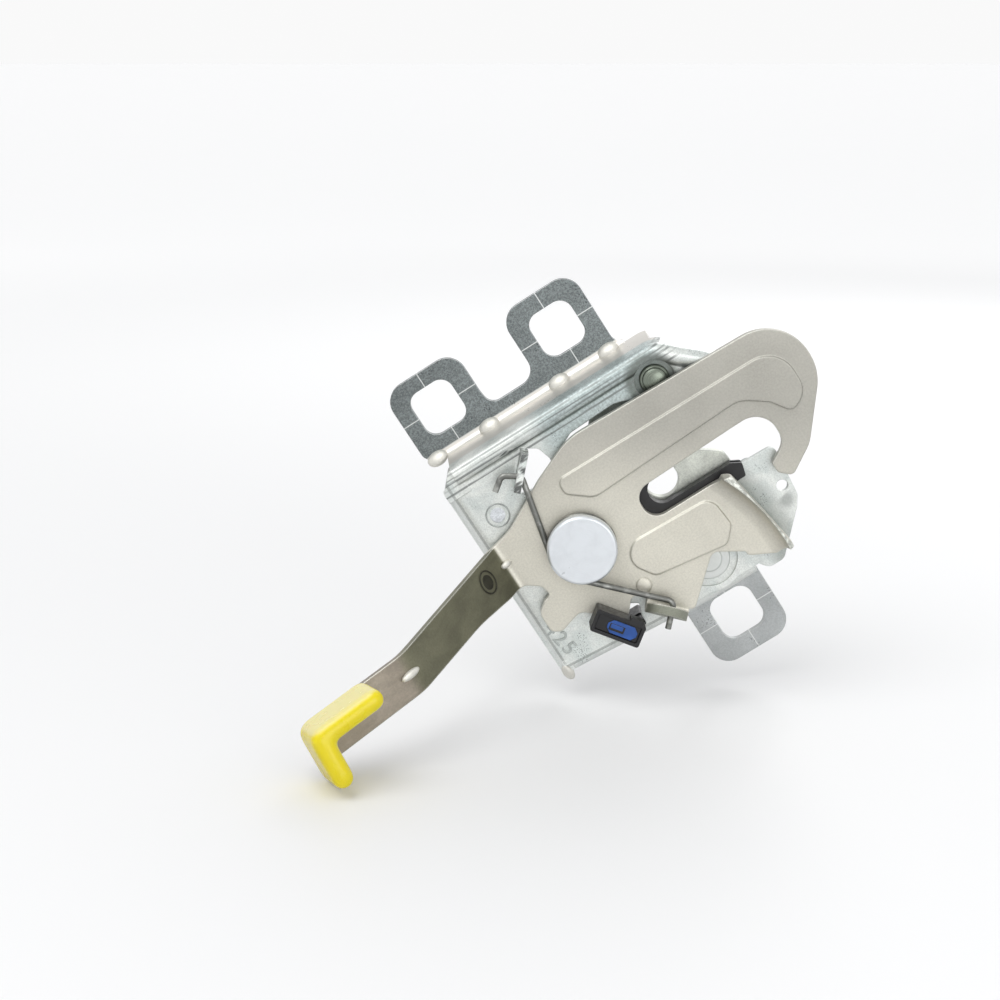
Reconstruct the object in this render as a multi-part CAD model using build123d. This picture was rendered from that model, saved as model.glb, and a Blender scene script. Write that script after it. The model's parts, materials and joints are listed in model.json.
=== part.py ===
from build123d import *
from math import acos, cos, radians, sin, tan
import os

# Bonnet latch. Sizes in millimetres.
# Everything is drawn round the safety hook's pivot: x right, z up the striker slot, y into the housing.
# The front of the pressed panel is y = 0, and the side that meets the car's body looks along +y.
# At the end every piece is moved so that the origin lies on that mounting face.

# Housing sheet
SHEET = 2.0
EAR_FRONT = 15.0
EAR_BACK = EAR_FRONT + SHEET
RIM = 1.2
LEFT = -38.0
LEAN = 2.4
RIGHT = 35.5
EARS_LEFT = -66.5
EARS_RIGHT = 60.0
BOTTOM = -26.0
TOP = 61.6
CHAMFER = (12.4, 13.6)
EAR_HOLE_W = 14.2
EAR_HOLE_H = 13.8
EAR_HOLES = [(EARS_LEFT + 13.0, -15.0), (EARS_LEFT + 12.3, 26.7), (EARS_RIGHT - 12.7, 26.2)]
LIP_LEAN = 0.075
LIP_DEPTH = 3.8
SLOT_MID = -0.9
SLOT_HALF = 6.2
SLOT_END = 21.9

# Safety hook sheet
HOOK = 2.6
HOOK_BACK = -1.6
HOOK_FRONT = HOOK_BACK - HOOK
HOOK_TOP = 83.8
EMBOSS = 0.6

# Lever folded out of the hook; depth is measured towards the viewer
LEVER_BEND = -22.0
ELBOW_OUT = 52.5
ELBOW_DOWN = 51.5
GRIP_TILT = 20.0
GRIP_LONG = 31.5
GRIP_HIGH = 17.6
CAP_WALL = 1.35

# Main rivet
HEAD_R = 10.1
HEAD_FRONT = -11.0
HEAD_BACK = -8.5
CORE_R = 8.2
SHOULDER_R = 7.0
NECK_R = 5.5
RUN = 0.05

# Springs; the hook's spring lies under the rivet's head, its angles measured in the drawing's plane
HOOK_WIRE = 0.9
HOOK_COIL = 9.3
COIL_NEAR = HOOK_FRONT - 0.1 - HOOK_WIRE
COIL_PITCH = 1.9
COIL_TURNS = (360 + 56.7) / 360
COIL_FAR = COIL_NEAR - COIL_PITCH * COIL_TURNS
LEG_TAB = -102.7
LEG_LUG = -46.0
TAB_REACH = 25.2
TAB_HOOK = [(-3.3, -4.7, 0), (-0.3, -8.7, 0)]
CLAW_WIRE = 0.65
CLAW_COIL = 6.1
PAWL_WIRE = 0.6
PAWL_COIL = 5.0

# Inner layer
CLAW_AT = (24.3, 28.5)
CLAW_Y = (4.2, 7.7)
CLAW_PIN = 5.0
PAWL_AT = (-28.7, 43.0)
PAWL_Y = (4.25, 7.25)
PAWL_PIN = 4.0
BACK_Y = (13.0, 14.6)
STRIKER_MID = (-2.0, 29.0)
STRIKER_GAP = 5.0
CLAW_TURN = 48.0

# Switch
CASE_Y = (4.0, 11.4)
CASE_WALL = 1.2
COVER = 1.2
PLUNGER_X = 13.0
PLUNGER_R = 1.2
PLUNGER_Y = 6.8
PLUNGER_TIP = 7.0
PLUNGER_TRAVEL = 1.5
SWITCH_PEGS = [(11.0, -6.0), (21.0, -6.6)]
SHROUD_AT = (24.7, -3.6)
SHROUD_TURN = 36.0
SHROUD_W = 15.0
SHROUD_H = 6.8
SHROUD_Y = (-12.0, -4.9)

# Origin of the finished part: on the rear face of the ears, between the two left holes
MOUNT = (-44.0, EAR_BACK, 5.85)


def outline(points):
    """Closed flat face; a third number on a point is the radius of that corner."""
    edges = []
    first = last = None
    count = len(points)
    for i, point in enumerate(points):
        here = Vector(point[0], point[1])
        start = end = here
        middle = None
        if len(point) > 2 and point[2] > 0:
            back = (Vector(*points[i - 1][:2]) - here).normalized()
            ahead = (Vector(*points[(i + 1) % count][:2]) - here).normalized()
            half = acos(max(-1, min(1, back.dot(ahead)))) / 2
            reach = point[2] / tan(half)
            start = here + back * reach
            end = here + ahead * reach
            middle = here + (back + ahead).normalized() * (point[2] / sin(half) - point[2])
        if last is None:
            first = start
        elif (start - last).length > 1e-5:
            edges.append(Line(last, start))
        if middle is not None:
            edges.append(ThreePointArc(start, middle, end))
        last = end
    if (first - last).length > 1e-5:
        edges.append(Line(last, first))
    return Face(Wire(edges))


def plan(back):
    """Plane square to y at a depth; its own x and y are the drawing's x and z."""
    return Plane((0, back, 0), x_dir=(1, 0, 0), z_dir=(0, -1, 0))


def plate(points, front, back, taper=0):
    """Sheet cut to an outline in x and z, lying between two depths."""
    return extrude(plan(back) * outline(points), back - front, dir=(0, -1, 0), taper=taper)


def disc(at, radius, front, back):
    """Round bar along y."""
    return extrude(plan(back) * Pos(at[0], at[1]) * Circle(radius), back - front, dir=(0, -1, 0))


def turned(at, points):
    """Solid of revolution about y through a pivot; points are radius and depth."""
    return revolve(Plane((at[0], 0, at[1])) * outline(points), Axis((at[0], 0, at[1]), (0, 1, 0)), 360)


def fold(path, sheet, bend):
    """Outline of bent sheet: the path is one skin and the sheet lies to its right."""
    points = [Vector(p[0], p[1]) for p in path]
    skin = []
    other = []
    for i, here in enumerate(points):
        into = (here - points[max(i, 1) - 1]) if i > 0 else points[1] - here
        out = (points[i + 1] - here) if i < len(points) - 1 else into
        into = into.normalized()
        out = out.normalized()
        right = Vector(into.Y, -into.X)
        mitre = (right + Vector(out.Y, -out.X)).normalized()
        far = here + mitre * (sheet / mitre.dot(right))
        turn = into.X * out.Y - into.Y * out.X
        inner = path[i][2] if len(path[i]) > 2 else bend
        outer = inner + abs(sheet)
        if abs(turn) < 1e-6:
            radii = (0, 0)
        elif turn * sheet > 0:
            radii = (inner, outer)
        else:
            radii = (outer, inner)
        skin.append((here.X, here.Y, radii[0]))
        other.append((far.X, far.Y, radii[1]))
    return outline(skin + other[::-1])


def along(face, origin, direction, across, length):
    """Folded section standing in the plane of 'across' and a normal, drawn out both ways along a line."""
    plane = Plane(origin, x_dir=across, z_dir=direction)
    return extrude(plane * face, length / 2, dir=direction, both=True)


def wire(path, radius):
    """Round wire along a path, with the section's seam a quarter turn round."""
    section = Plane(path @ 0, z_dir=path % 0) * (Rot(0, 0, 90) * Circle(radius))
    return sweep(section, path=path, transition=Transition.ROUND)


def torsion_spring(at, depth, coil, radius, pitch, angle, turns, left, near, far):
    """Coil about y that rises towards the viewer; near and far give each leg's length and later corners."""
    coil_line = Rot(0, 0, angle) * Helix(pitch, pitch * turns, coil, lefthand=left)
    helix = plan(depth) * Pos(at[0], at[1]) * coil_line
    runs = []
    for end, sign, leg in ((0, -1, near), (1, 1, far)):
        root = helix @ end
        way = (helix % end) * sign
        level = root + way * 2
        tip = level + Vector(way.X, 0, way.Z).normalized() * (leg[0] - 2)
        stops = [root, level, tip] + [tip + Vector(dx, dy, dz) for dx, dz, dy in leg[1:]]
        runs.append(FilletPolyline(*stops[::sign], radius=2.2 * radius))
    return wire(Wire(runs[0].edges() + helix.edges() + runs[1].edges()), radius)


def leg_tip(at, coil, angle, length, clockwise):
    """Plan point where a straight leg of a coil ends, for a leg that leaves at an angle."""
    turn = radians(angle)
    side = length if clockwise else -length
    return (at[0] + coil * cos(turn) + side * sin(turn), at[1] + coil * sin(turn) - side * cos(turn))


def pose(at, angle, point):
    """A point in x and z turned about a pivot, positive as +y turns z to x."""
    turn = radians(angle)
    dx = point[0] - at[0]
    dz = point[1] - at[1]
    return (at[0] + dx * cos(turn) + dz * sin(turn), at[1] - dx * sin(turn) + dz * cos(turn))


# Housing: raised rim with its leaning wall, swept round the left side and the top
rim_path = FilletPolyline(
    (LEFT, 0, -20.5), (LEFT, 0, TOP - CHAMFER[1]), (LEFT + CHAMFER[0], 0, TOP), (SLOT_MID - SLOT_HALF - 2, 0, TOP),
    radius=8.0,
)
rim_section = fold(
    [(LEFT + 6.8, 0), (LEFT + 5.0, 0), (LEFT + 4.2, -RIM), (LEFT, -RIM), (LEFT - LEAN, EAR_FRONT)], SHEET, 0.6
)
rim = sweep(Pos(0, 0, -20.5) * rim_section, path=rim_path)
rim -= Pos(0, 17, TOP) * Box(200, 20, 2 * CHAMFER[1])



def lip_edge(z):
    """Outer x of the leaning right-hand lip at a height."""
    return RIGHT - LIP_LEAN * (15.4 - z) - 0.7


# Flat panel with the striker slot open at the top
panel = plate(
    [
        (LEFT + 6, BOTTOM + 4), (lip_edge(BOTTOM + 2) - 2, BOTTOM + 4), (lip_edge(14.0) - 2, 14.0),
        (RIGHT - 2, 14.0), (RIGHT - 2, 40.0),
        (36.2, 42.0, 3), (36.2, 47.0, 3), (25.0, 58.0, 3), (21.8, 60.1, 3), (5.6, 61.6, 2),
        (SLOT_MID + SLOT_HALF, 50), (SLOT_MID + SLOT_HALF, SLOT_END, SLOT_HALF - 0.05),
        (SLOT_MID - SLOT_HALF, SLOT_END, SLOT_HALF - 0.05), (SLOT_MID - SLOT_HALF, TOP - 6.0),
        (LEFT + CHAMFER[0] + 2.65, TOP - 6.0), (LEFT + 6.0, TOP - CHAMFER[1] - 2.32),
    ],
    0, SHEET,
)

# Rolled lower edge, right-hand wall with its ear, and the short lip under it
bottom_end = lip_edge(BOTTOM)
bottom = along(
    fold([(0, 0), (4, 0, 2.2), (4.6, 8)], -SHEET, 2.2),
    ((LEFT + 5.2 + bottom_end) / 2, 0, BOTTOM + 4), (1, 0, 0), (0, 0, -1), bottom_end - LEFT - 5.2,
)
lip_low = BOTTOM + 1.2
lip = along(
    fold([(-4, 0), (0, 0, 0.9), (0.5, LIP_DEPTH)], -SHEET, 0.9),
    (lip_edge((lip_low + 15.4) / 2), 0, (lip_low + 15.4) / 2),
    Vector(LIP_LEAN, 0, 1).normalized(), Vector(1, 0, -LIP_LEAN).normalized(), 15.4 - lip_low,
)
wall = along(
    fold([(-4, 0), (0, 0, 0.9), (LEAN, EAR_FRONT, 2), (EARS_RIGHT - RIGHT + 1.5, EAR_FRONT)], -SHEET, 0.9),
    (RIGHT, 0, 25.9), (0, 0, 1), (1, 0, 0), 25.2,
)
wall &= plate(
    [(RIGHT - 5.5, 13.3), (EARS_RIGHT, 13.3, 6), (EARS_RIGHT, 38.4, 6), (RIGHT - 5.5, 38.4)], -2, 20
)
corner = plate([(LEFT, -18.5), (LEFT, -21.4, 2), (-33.2, -25.8, 2), (-30, -25.8), (-30, -18.5)], -0.2, SHEET)
corner += plate(
    [(LEFT, -18.5), (LEFT, -21.4, 2), (-33.2, -25.8, 2), (-30, -25.8), (-30, -23.8), (-32.6, -23.8, 1),
     (LEFT + 2, -20.4, 1), (LEFT + 2, -18.5)],
    -0.2, 8,
)

# Left ears, folded out at the back of the leaning wall
ears = along(
    fold([(-LEAN * 9.2 / 16.2, 8), (-LEAN, EAR_FRONT, 2.2), (EARS_LEFT - LEFT - 0.5, EAR_FRONT)], SHEET, 2.2),
    (LEFT, 0, 6), (0, 0, 1), (1, 0, 0), 70,
)
ears &= plate(
    [
        (LEFT + 2, -20.4), (LEFT - 2.6, -20.4, 1), (LEFT - 3.6, -27, 3), (EARS_LEFT + 1.3, -27, 6),
        (EARS_LEFT + 1.3, -2.2, 6), (EARS_LEFT + 15.5, -2.2, 3), (EARS_LEFT + 20.8, -1.6, 3.5),
        (EARS_LEFT + 20.8, 14.3, 5), (EARS_LEFT, 14.3, 6), (EARS_LEFT, 38.7, 6), (LEFT - 3.6, 38.7, 3),
        (LEFT - 2.6, 43, 1), (LEFT + 2, 43),
    ],
    5, 20,
)
housing = rim + panel + bottom + lip + wall + corner + ears

# Dishes for the inner rivets
for at, dish, depth, bore in ((CLAW_AT, 8.4, 1.0, 4.0), (PAWL_AT, 6.0, 2.0, 3.0)):
    housing += disc(at, dish + 1.8, 0, SHEET + depth)
    housing -= disc(at, dish, -3, depth)
    housing -= disc(at, bore, -3, 6)

# Window, opening under the arm, switch opening, small holes
for shape in (
    [(-31.9, 1.3, 0.8), (-30.0, 4.4, 2), (-24.6, 6.0, 2), (-20.4, -2.6, 2), (-21.4, -7.0, 0.8),
     (-23.6, -7.0, 0.5)],
    [(-24.2, 5.0, 1.5), (-28.8, 14.6, 3), (-29.3, 29.5, 4), (-27.4, 35.2, 1.5), (-21, 33.0, 3),
     (-17, 8.0, 3)],
    [(23.4, 2.1, 0.5), (27.0, -1.0, 0.5), (28.5, -1.6), (31.3, -1.6, 0.6), (31.3, 3.0, 0.6), (28.5, 3.0),
     (24.8, 4.4, 0.5)],
):
    housing -= plate(shape, -3, 6)
housing -= disc((0, 0), NECK_R, -3, 6)
housing -= disc((17.2, 57.6), 1.7, -3, 6)
for at in SWITCH_PEGS:
    housing -= disc(at, 1.5, -3, 6)
for x, z in EAR_HOLES:
    w = EAR_HOLE_W / 2
    h = EAR_HOLE_H / 2
    housing -= plate([(x - w, z - h, 4), (x + w, z - h, 4), (x + w, z + h, 4), (x - w, z + h, 4)], 10, 20)

# Tab bent forward beside the window, notched where the hook's spring crosses it
housing += along(
    fold([(-4.0, 0), (-1.0, 0, 1), (-1.0, 7.8)], SHEET, 1),
    (-27.85, 0, -2.9), (0.72, 0, -0.694), (0.694, 0, 0.72), 11.6,
)
tab_tip = leg_tip((0, 0), HOOK_COIL, LEG_TAB, TAB_REACH, True)
tab_in = leg_tip((0, 0), HOOK_COIL, LEG_TAB, TAB_REACH - 6, True)
tab_out = (tab_tip[0] + TAB_HOOK[0][0], tab_tip[1] + TAB_HOOK[0][1])
tab_path = [(x, COIL_NEAR, z) for x, z in (tab_in, tab_tip, tab_out)]
housing -= wire(FilletPolyline(*tab_path, radius=2.2 * HOOK_WIRE), HOOK_WIRE + 0.15)

# Safety hook: flat plate with slot, catch arm, jaw and lobe
RAMP_SLOPE = 0.172
RAMP_MID = Vector(17.4, 0, 46.0)
RAMP_R = 55.7
RAMP_CENTRE = Vector(28.5, 0, -5.5)
RAMP_FROM = 82.0
RAMP_ARC = 40.0


def ramp_line(x, offset):
    """Height at x of the ramp's base line, shifted."""
    return RAMP_MID.Z + (x - RAMP_MID.X) * RAMP_SLOPE + offset


hook = plate(
    [
        (-12.9, -22.6), (-14.6, -15.5, 14), (-22.6, -0.6, 18), (-28.6, 13.4, 20), (-26.4, HOOK_TOP, 14),
        (-6.8, HOOK_TOP, 15), (9.8, 70.6, 10), (15.3, 61.9, 1.8), (12.2, 58.6, 2.2), (9.2, 58.5, 1.0),
        (5.6, 64.8, 5.2), (-6.1, 64.8, 6.9), (-6.0, 54.0, 4), (-5.0, 20.7, 4.6), (5.0, 20.7, 4.6),
        (5.0, ramp_line(5, -8)), (27.8, ramp_line(27.8, -8)), (22.0, 30.6, 2.6), (34.0, 17.4, 1.5),
        (29.8, 12.0), (20.0, 4.6, 2.0), (26.0, -0.4, 1.5), (16.6, -11.0, 3),
        (18.8, -18.6, 2.0), (17.2, -21.2, 1.8), (11.0, -21.2, 2.4), (8.4, -18.0, 1.0), (7.8, -15.4, 1.4),
        (4.2, -16.2, 2.5), (1.4, -20.0, 1.5), (1.2, -22.6),
    ],
    HOOK_FRONT, HOOK_BACK,
)

# Ramp flange rolled forward at the jaw's upper end
ramp_out = Vector(cos(radians(RAMP_FROM)), 0, sin(radians(RAMP_FROM)))
ramp_plane = Plane(RAMP_CENTRE + ramp_out * RAMP_R, x_dir=ramp_out, z_dir=(ramp_out.Z, 0, -ramp_out.X))
ramp = revolve(
    ramp_plane * fold([(-12.0, -HOOK_FRONT), (-1.3, -HOOK_FRONT, 4.6), (0.0, 11.2)], HOOK, 4.6),
    Axis(tuple(RAMP_CENTRE), (0, -1, 0)), RAMP_ARC,
)
ramp &= plate(
    [(5.0, 30), (5.0, 43.4, 1.0), (4.0, 44.6, 0.4), (4.4, 47.0, 0.8), (31.4, 51.6, 0.8), (32.4, 46.2, 1.5),
     (29.0, 39.6, 8), (26.0, 36.0), (24, 30)],
    -14, 0,
)
ramp -= plate([(-30, 0), (60, 0), (60, ramp_line(60, -9.0)), (-30, ramp_line(-30, -9.0))], -14, 0)

# Curled lug that holds the spring's long leg
LUG_WAY = Vector(-0.72, 0, -0.694)
LUG_OUT = Vector(0.694, 0, -0.72)
LUG_MID = Vector(26.7, 0, 13.65)
LUG_LONG = 12.6
lug_fold = fold([(-4.0, -HOOK_FRONT), (4.0, -HOOK_FRONT, 0.9), (1.8, 9.4)], HOOK, 0.9)
lug = along(lug_fold, LUG_MID, LUG_WAY, LUG_OUT, LUG_LONG)
tongue = outline([(-LUG_LONG / 2, 0), (-LUG_LONG / 2, -9.4, 5.2), (LUG_LONG / 2, -9.4, 5.2), (LUG_LONG / 2, 0)])
lug &= extrude(Plane(LUG_MID, x_dir=LUG_WAY, z_dir=LUG_OUT) * tongue, 8, both=True)

# Lever: folded forward at the plate's lower edge and flatter again at the elbow
grip = radians(GRIP_TILT)
grip_root = Vector(0, -ELBOW_OUT, -ELBOW_DOWN)
grip_down = Vector(0, -sin(grip), -cos(grip))
grip_front = Vector(0, -cos(grip), sin(grip))
lever = along(
    fold(
        [(16.0, -HOOK_FRONT), (-LEVER_BEND, -HOOK_FRONT, 3.0), (ELBOW_DOWN, ELBOW_OUT, 6.0),
         (ELBOW_DOWN + GRIP_LONG * cos(grip), ELBOW_OUT + GRIP_LONG * sin(grip))],
        HOOK, 3.0,
    ),
    (-5.5, 0, 0), (-1, 0, 0), (0, 0, -1), 40,
)
lever &= plate(
    [(-13.9, -16.0), (1.2, -16.0), (1.2, -25.0, 4), (-0.4, -34.0, 20), (0.2, -90.0), (-11.9, -90.0),
     (-12.0, -50.0, 30), (-12.9, -24.0, 10)],
    -80, 0,
)


def on_grip(face, low, high):
    """Raise a face drawn on the grip's front, x across and y back up the lever, between two heights."""
    plane = Plane(grip_root + grip_front * low, x_dir=(1, 0, 0), z_dir=grip_front)
    return extrude(plane * face, high - low, dir=grip_front)


# Grip flange, turned up from the lever's left edge and folded across its end
flange = along(
    fold([(-6.0, 0), (-9.3, 0, 1.0), (-9.3, GRIP_HIGH)], -HOOK, 1.0),
    grip_root + grip_down * (GRIP_LONG + 11.3) / 2, grip_down, (1, 0, 0), GRIP_LONG - 15.9,
)
grip_end = fold([(-11.9, 3.5 - GRIP_LONG), (-11.9, -1.1 - GRIP_LONG, 2.4), (2.2, -2.5 - GRIP_LONG)], -HOOK, 2.4)
flange += on_grip(grip_end, 1.0, GRIP_HIGH)
hook = hook + ramp + lug + lever + flange
lug_hole = leg_tip((0, 0), HOOK_COIL, LEG_LUG, 29.6, False)
lug_line = Line(
    (lug_hole[0] - 0.6, COIL_FAR, lug_hole[1] + 0.6), (lug_hole[0] + 8.0, COIL_FAR, lug_hole[1] - 7.7)
)
hook -= wire(lug_line, HOOK_WIRE + 0.15)

# Stiffening panels pressed forward in arm and jaw
for shape in (
    [(-20.2, 4.2, 2.5), (-19.6, HOOK_TOP - 6, 9), (-3.5, HOOK_TOP - 6, 6.5), (-0.6, 71.2, 2.6), (-6.6, 67.0, 5),
     (-11.6, 60.0, 8), (-9.8, 10.8, 5), (-15.4, 3.8, 2.4)],
    [(6.8, 11.2, 5.5), (7.7, 38.8, 4.5), (18.0, 39.8, 3), (22.6, 35.6, 3), (19.4, 13.2, 3.5), (13.0, 9.0, 5)],
):
    hook += plate(shape, HOOK_FRONT - EMBOSS, HOOK_FRONT, taper=35)
    hook -= plate(shape, HOOK_BACK - EMBOSS, HOOK_BACK + 1)
hook -= disc((0, 0), SHOULDER_R + RUN, -6, 0)

# Cap moulded over the grip flange
cap = on_grip(
    outline(
        [(-13.3, -12.2, 2.5), (-13.3, -2.7 - GRIP_LONG, 3.6), (3.6, -4.1 - GRIP_LONG, 2.5),
         (3.9, 1.3 - GRIP_LONG, 2.5), (-8.0, 2.4 - GRIP_LONG, 1.4), (-8.0, -12.2, 2.5)]
    ),
    1.3, GRIP_HIGH + CAP_WALL,
)
cap = fillet(cap.edges().group_by(Axis(tuple(grip_root), tuple(grip_front)))[-1], 2.2)
cap -= flange

# Main rivet, washer and spring
rivet = turned(
    (0, 0),
    [(0, HEAD_FRONT), (HEAD_R - 0.5, HEAD_FRONT, 0.4), (HEAD_R, HEAD_FRONT + 0.7, 0.3), (HEAD_R, HEAD_BACK),
     (CORE_R, HEAD_BACK), (CORE_R, HOOK_FRONT - RUN), (SHOULDER_R, HOOK_FRONT - RUN), (SHOULDER_R, 0),
     (NECK_R, 0), (NECK_R, SHEET), (7.4, SHEET), (7.4, SHEET + 0.6, 0.3), (5.6, SHEET + 1.5, 0.6),
     (0, SHEET + 1.5)],
)
washer = turned(
    (0, 0),
    [(SHOULDER_R + RUN, -RUN), (11.4, -RUN), (11.4, HOOK_BACK + RUN), (SHOULDER_R + RUN, HOOK_BACK + RUN)],
)
hook_spring = torsion_spring(
    (0, 0), COIL_NEAR, HOOK_COIL, HOOK_WIRE, COIL_PITCH, LEG_TAB, COIL_TURNS, False,
    [TAB_REACH] + TAB_HOOK, [29.6, (6.0, -5.8, 0)],
)

# Claw: two fingers round the striker, a shoulder for the pawl and a slow cam for the switch
cam = []
for turn in (-3, 6, 15, 24, 33, 42, 50):
    centre = (PLUNGER_X, PLUNGER_TIP - PLUNGER_R + PLUNGER_TRAVEL * turn / CLAW_TURN)
    centre = pose(CLAW_AT, -turn, centre)
    arm = Vector(centre[0] - CLAW_AT[0], centre[1] - CLAW_AT[1])
    edge = arm.normalized() * (arm.length - PLUNGER_R - RUN)
    cam.append((CLAW_AT[0] + edge.X, CLAW_AT[1] + edge.Y))
claw = plate(
    [
        (STRIKER_MID[0] - 6.6, STRIKER_MID[1] + STRIKER_GAP, 0.8),
        (STRIKER_MID[0] + STRIKER_GAP, STRIKER_MID[1] + STRIKER_GAP, STRIKER_GAP - 0.05),
        (STRIKER_MID[0] + STRIKER_GAP, STRIKER_MID[1] - STRIKER_GAP, STRIKER_GAP - 0.05),
        (-7.4, STRIKER_MID[1] - STRIKER_GAP, 1.5),
        (-7.4, 20.4, 1.2), (2.2, 13.5, 0.5), (3.3, 5.2, 0.8), (5.0, 4.4, 0.8),
    ]
    + cam
    + [(32.9, 20.0, 6), (33.1, 36.0, 7), (22.0, 37.5, 4), (10.0, 46.5, 3), (5.4, 49.0, 2.5), (0.5, 48.6, 3),
       (-4.6, 41.5, 3), (-9.2, 36.0, 1.0)],
    *CLAW_Y,
)
claw -= disc(CLAW_AT, CLAW_PIN + RUN, 0, 12)
claw_end = leg_tip(CLAW_AT, CLAW_COIL, 100 + 360 * 2.42, 9.0, False)
claw -= disc(claw_end, CLAW_WIRE + 0.25, 0, 12)
claw_rivet = turned(
    CLAW_AT,
    [(0, -1.2), (3.8, -1.2, 0.4), (3.8, -0.6), (6.2, -0.6, 0.5), (6.2, 1.0), (4.0, 1.0), (4.0, 3.0),
     (CLAW_PIN, 3.0),
     (CLAW_PIN, BACK_Y[0]), (3.5, BACK_Y[0]), (3.5, BACK_Y[1]), (5.5, BACK_Y[1]), (5.5, 15.6, 0.5),
     (4.2, 16.2, 0.4), (0, 16.2)],
)

# Pawl: hub, arm with its nose against the claw's shoulder, short arm for the cable
pawl = plate(
    [
        (-36.2, 50.6, 7), (-36.2, 35.4, 7), (-25.5, 35.4, 3), (-17.5, 15.5, 6), (-4.0, 3.4, 2.5),
        (3.1, 4.6, 1.0), (2.25, 12.0, 0.8), (-2.5, 12.6, 2), (-12.5, 22.3, 6), (-21.4, 37.5, 4),
        (-20.8, 46.0, 3), (-18.6, 55.0, 3), (-24.6, 57.4, 3), (-29.0, 50.6, 2),
    ],
    *PAWL_Y,
)
pawl -= disc(PAWL_AT, PAWL_PIN + RUN, 0, 12)
pawl -= disc((-22.8, 53.6), 1.6, 0, 12)
pawl_end = leg_tip(PAWL_AT, PAWL_COIL, -60 - 360 * 2.6, 6.0, True)
pawl -= disc(pawl_end, PAWL_WIRE + 0.25, 0, 12)
pawl_rivet = turned(
    PAWL_AT,
    [(0, 0.3), (2.6, 0.3, 1.5), (4.4, 1.2, 0.6), (4.4, 2.0), (3.0, 2.0), (3.0, 4.0), (PAWL_PIN, 4.0),
     (PAWL_PIN, BACK_Y[0]), (3.0, BACK_Y[0]), (3.0, BACK_Y[1]), (4.8, BACK_Y[1]), (4.8, 15.5, 0.4),
     (3.6, 16.0, 0.4), (0, 16.0)],
)
claw_spring = torsion_spring(
    CLAW_AT, 12.2, CLAW_COIL, CLAW_WIRE, 1.45, 100.0, 2.42, False, [11.0], [9.0, (0, 0, -3.6)]
)
pawl_spring = torsion_spring(
    PAWL_AT, 12.2, PAWL_COIL, PAWL_WIRE, 1.35, -60.0, 2.6, True, [7.5], [6.0, (0, 0, -4.0)]
)

# Back plate that carries the far ends of both pins
back = plate(
    [(-37.0, 50.0, 4), (-25.0, 58.6, 4), (-8.4, 58.6, 2), (-8.4, 18.0, 3), (8.0, 18.0, 3), (8.0, 54.0, 2),
     (22.0, 56.0, 4), (33.0, 45.0, 4), (33.0, 16.0, 3), (14.0, 8.0, 4), (-8.0, 8.0, 4), (-20.0, 14.0, 4),
     (-37.0, 30.0, 4)],
    *BACK_Y,
)
sheet = BACK_Y[1] - BACK_Y[0]
right_tab = fold([(26.0, 0), (33.8, 0, 1), (33.9, -5.4)], sheet, 1)
left_tab = fold([(-30.0, 0), (-37.5, 0, 1), (-37.3, -5.4)], -sheet, 1)
back += along(right_tab, (0, BACK_Y[1], 27.0), (0, 0, 1), (1, 0, 0), 13)
back += along(left_tab, (0, BACK_Y[1], 40.0), (0, 0, 1), (1, 0, 0), 12)
back -= disc(CLAW_AT, 3.5, 10, 18)
back -= disc(PAWL_AT, 3.0, 10, 18)

# Liner gripping the slot's edge
half = SLOT_HALF - 2.0
inner = [
    (SLOT_MID + half, SLOT_END + 2.0, half - 0.05), (SLOT_MID - half, SLOT_END + 2.0, half - 0.05),
    (SLOT_MID - half, 44.0),
]
flange_line = [
    (SLOT_MID - 9.7, 44.0, 1), (SLOT_MID - 9.7, 18.4, 7), (SLOT_MID + 9.7, 18.4, 7),
    (SLOT_MID + 9.7, 50.4, 0.6),
    (SLOT_MID + 5.8, 51.4, 0.6), (SLOT_MID + half, 48.5),
]
web_line = [
    (SLOT_MID - SLOT_HALF, 44.0), (SLOT_MID - SLOT_HALF, SLOT_END, SLOT_HALF - 0.05),
    (SLOT_MID + SLOT_HALF, SLOT_END, SLOT_HALF - 0.05), (SLOT_MID + SLOT_HALF, 48.5), (SLOT_MID + half, 48.5),
]
liner = plate(flange_line + inner, -1.3, 0)
liner += plate(web_line + inner, 0, SHEET)
liner += plate(flange_line + inner, SHEET, SHEET + 1)

# Switch case behind the panel, with its cover
case_line = [
    (7.5, -10.0, 1), (24.0, -10.0, 1), (33.0, -4.4, 1), (33.0, 2.9, 0.8), (28.4, 2.9, 0.8), (28.4, -1.8),
    (22.4, -2.4, 0.8), (19.0, 3.5, 0.8), (7.5, 3.5, 0.8),
]


def inside(points, gap):
    """Outline drawn in by a gap, as a face in the drawing's plane."""
    return offset(outline(points), -gap, kind=Kind.INTERSECTION)


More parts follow.
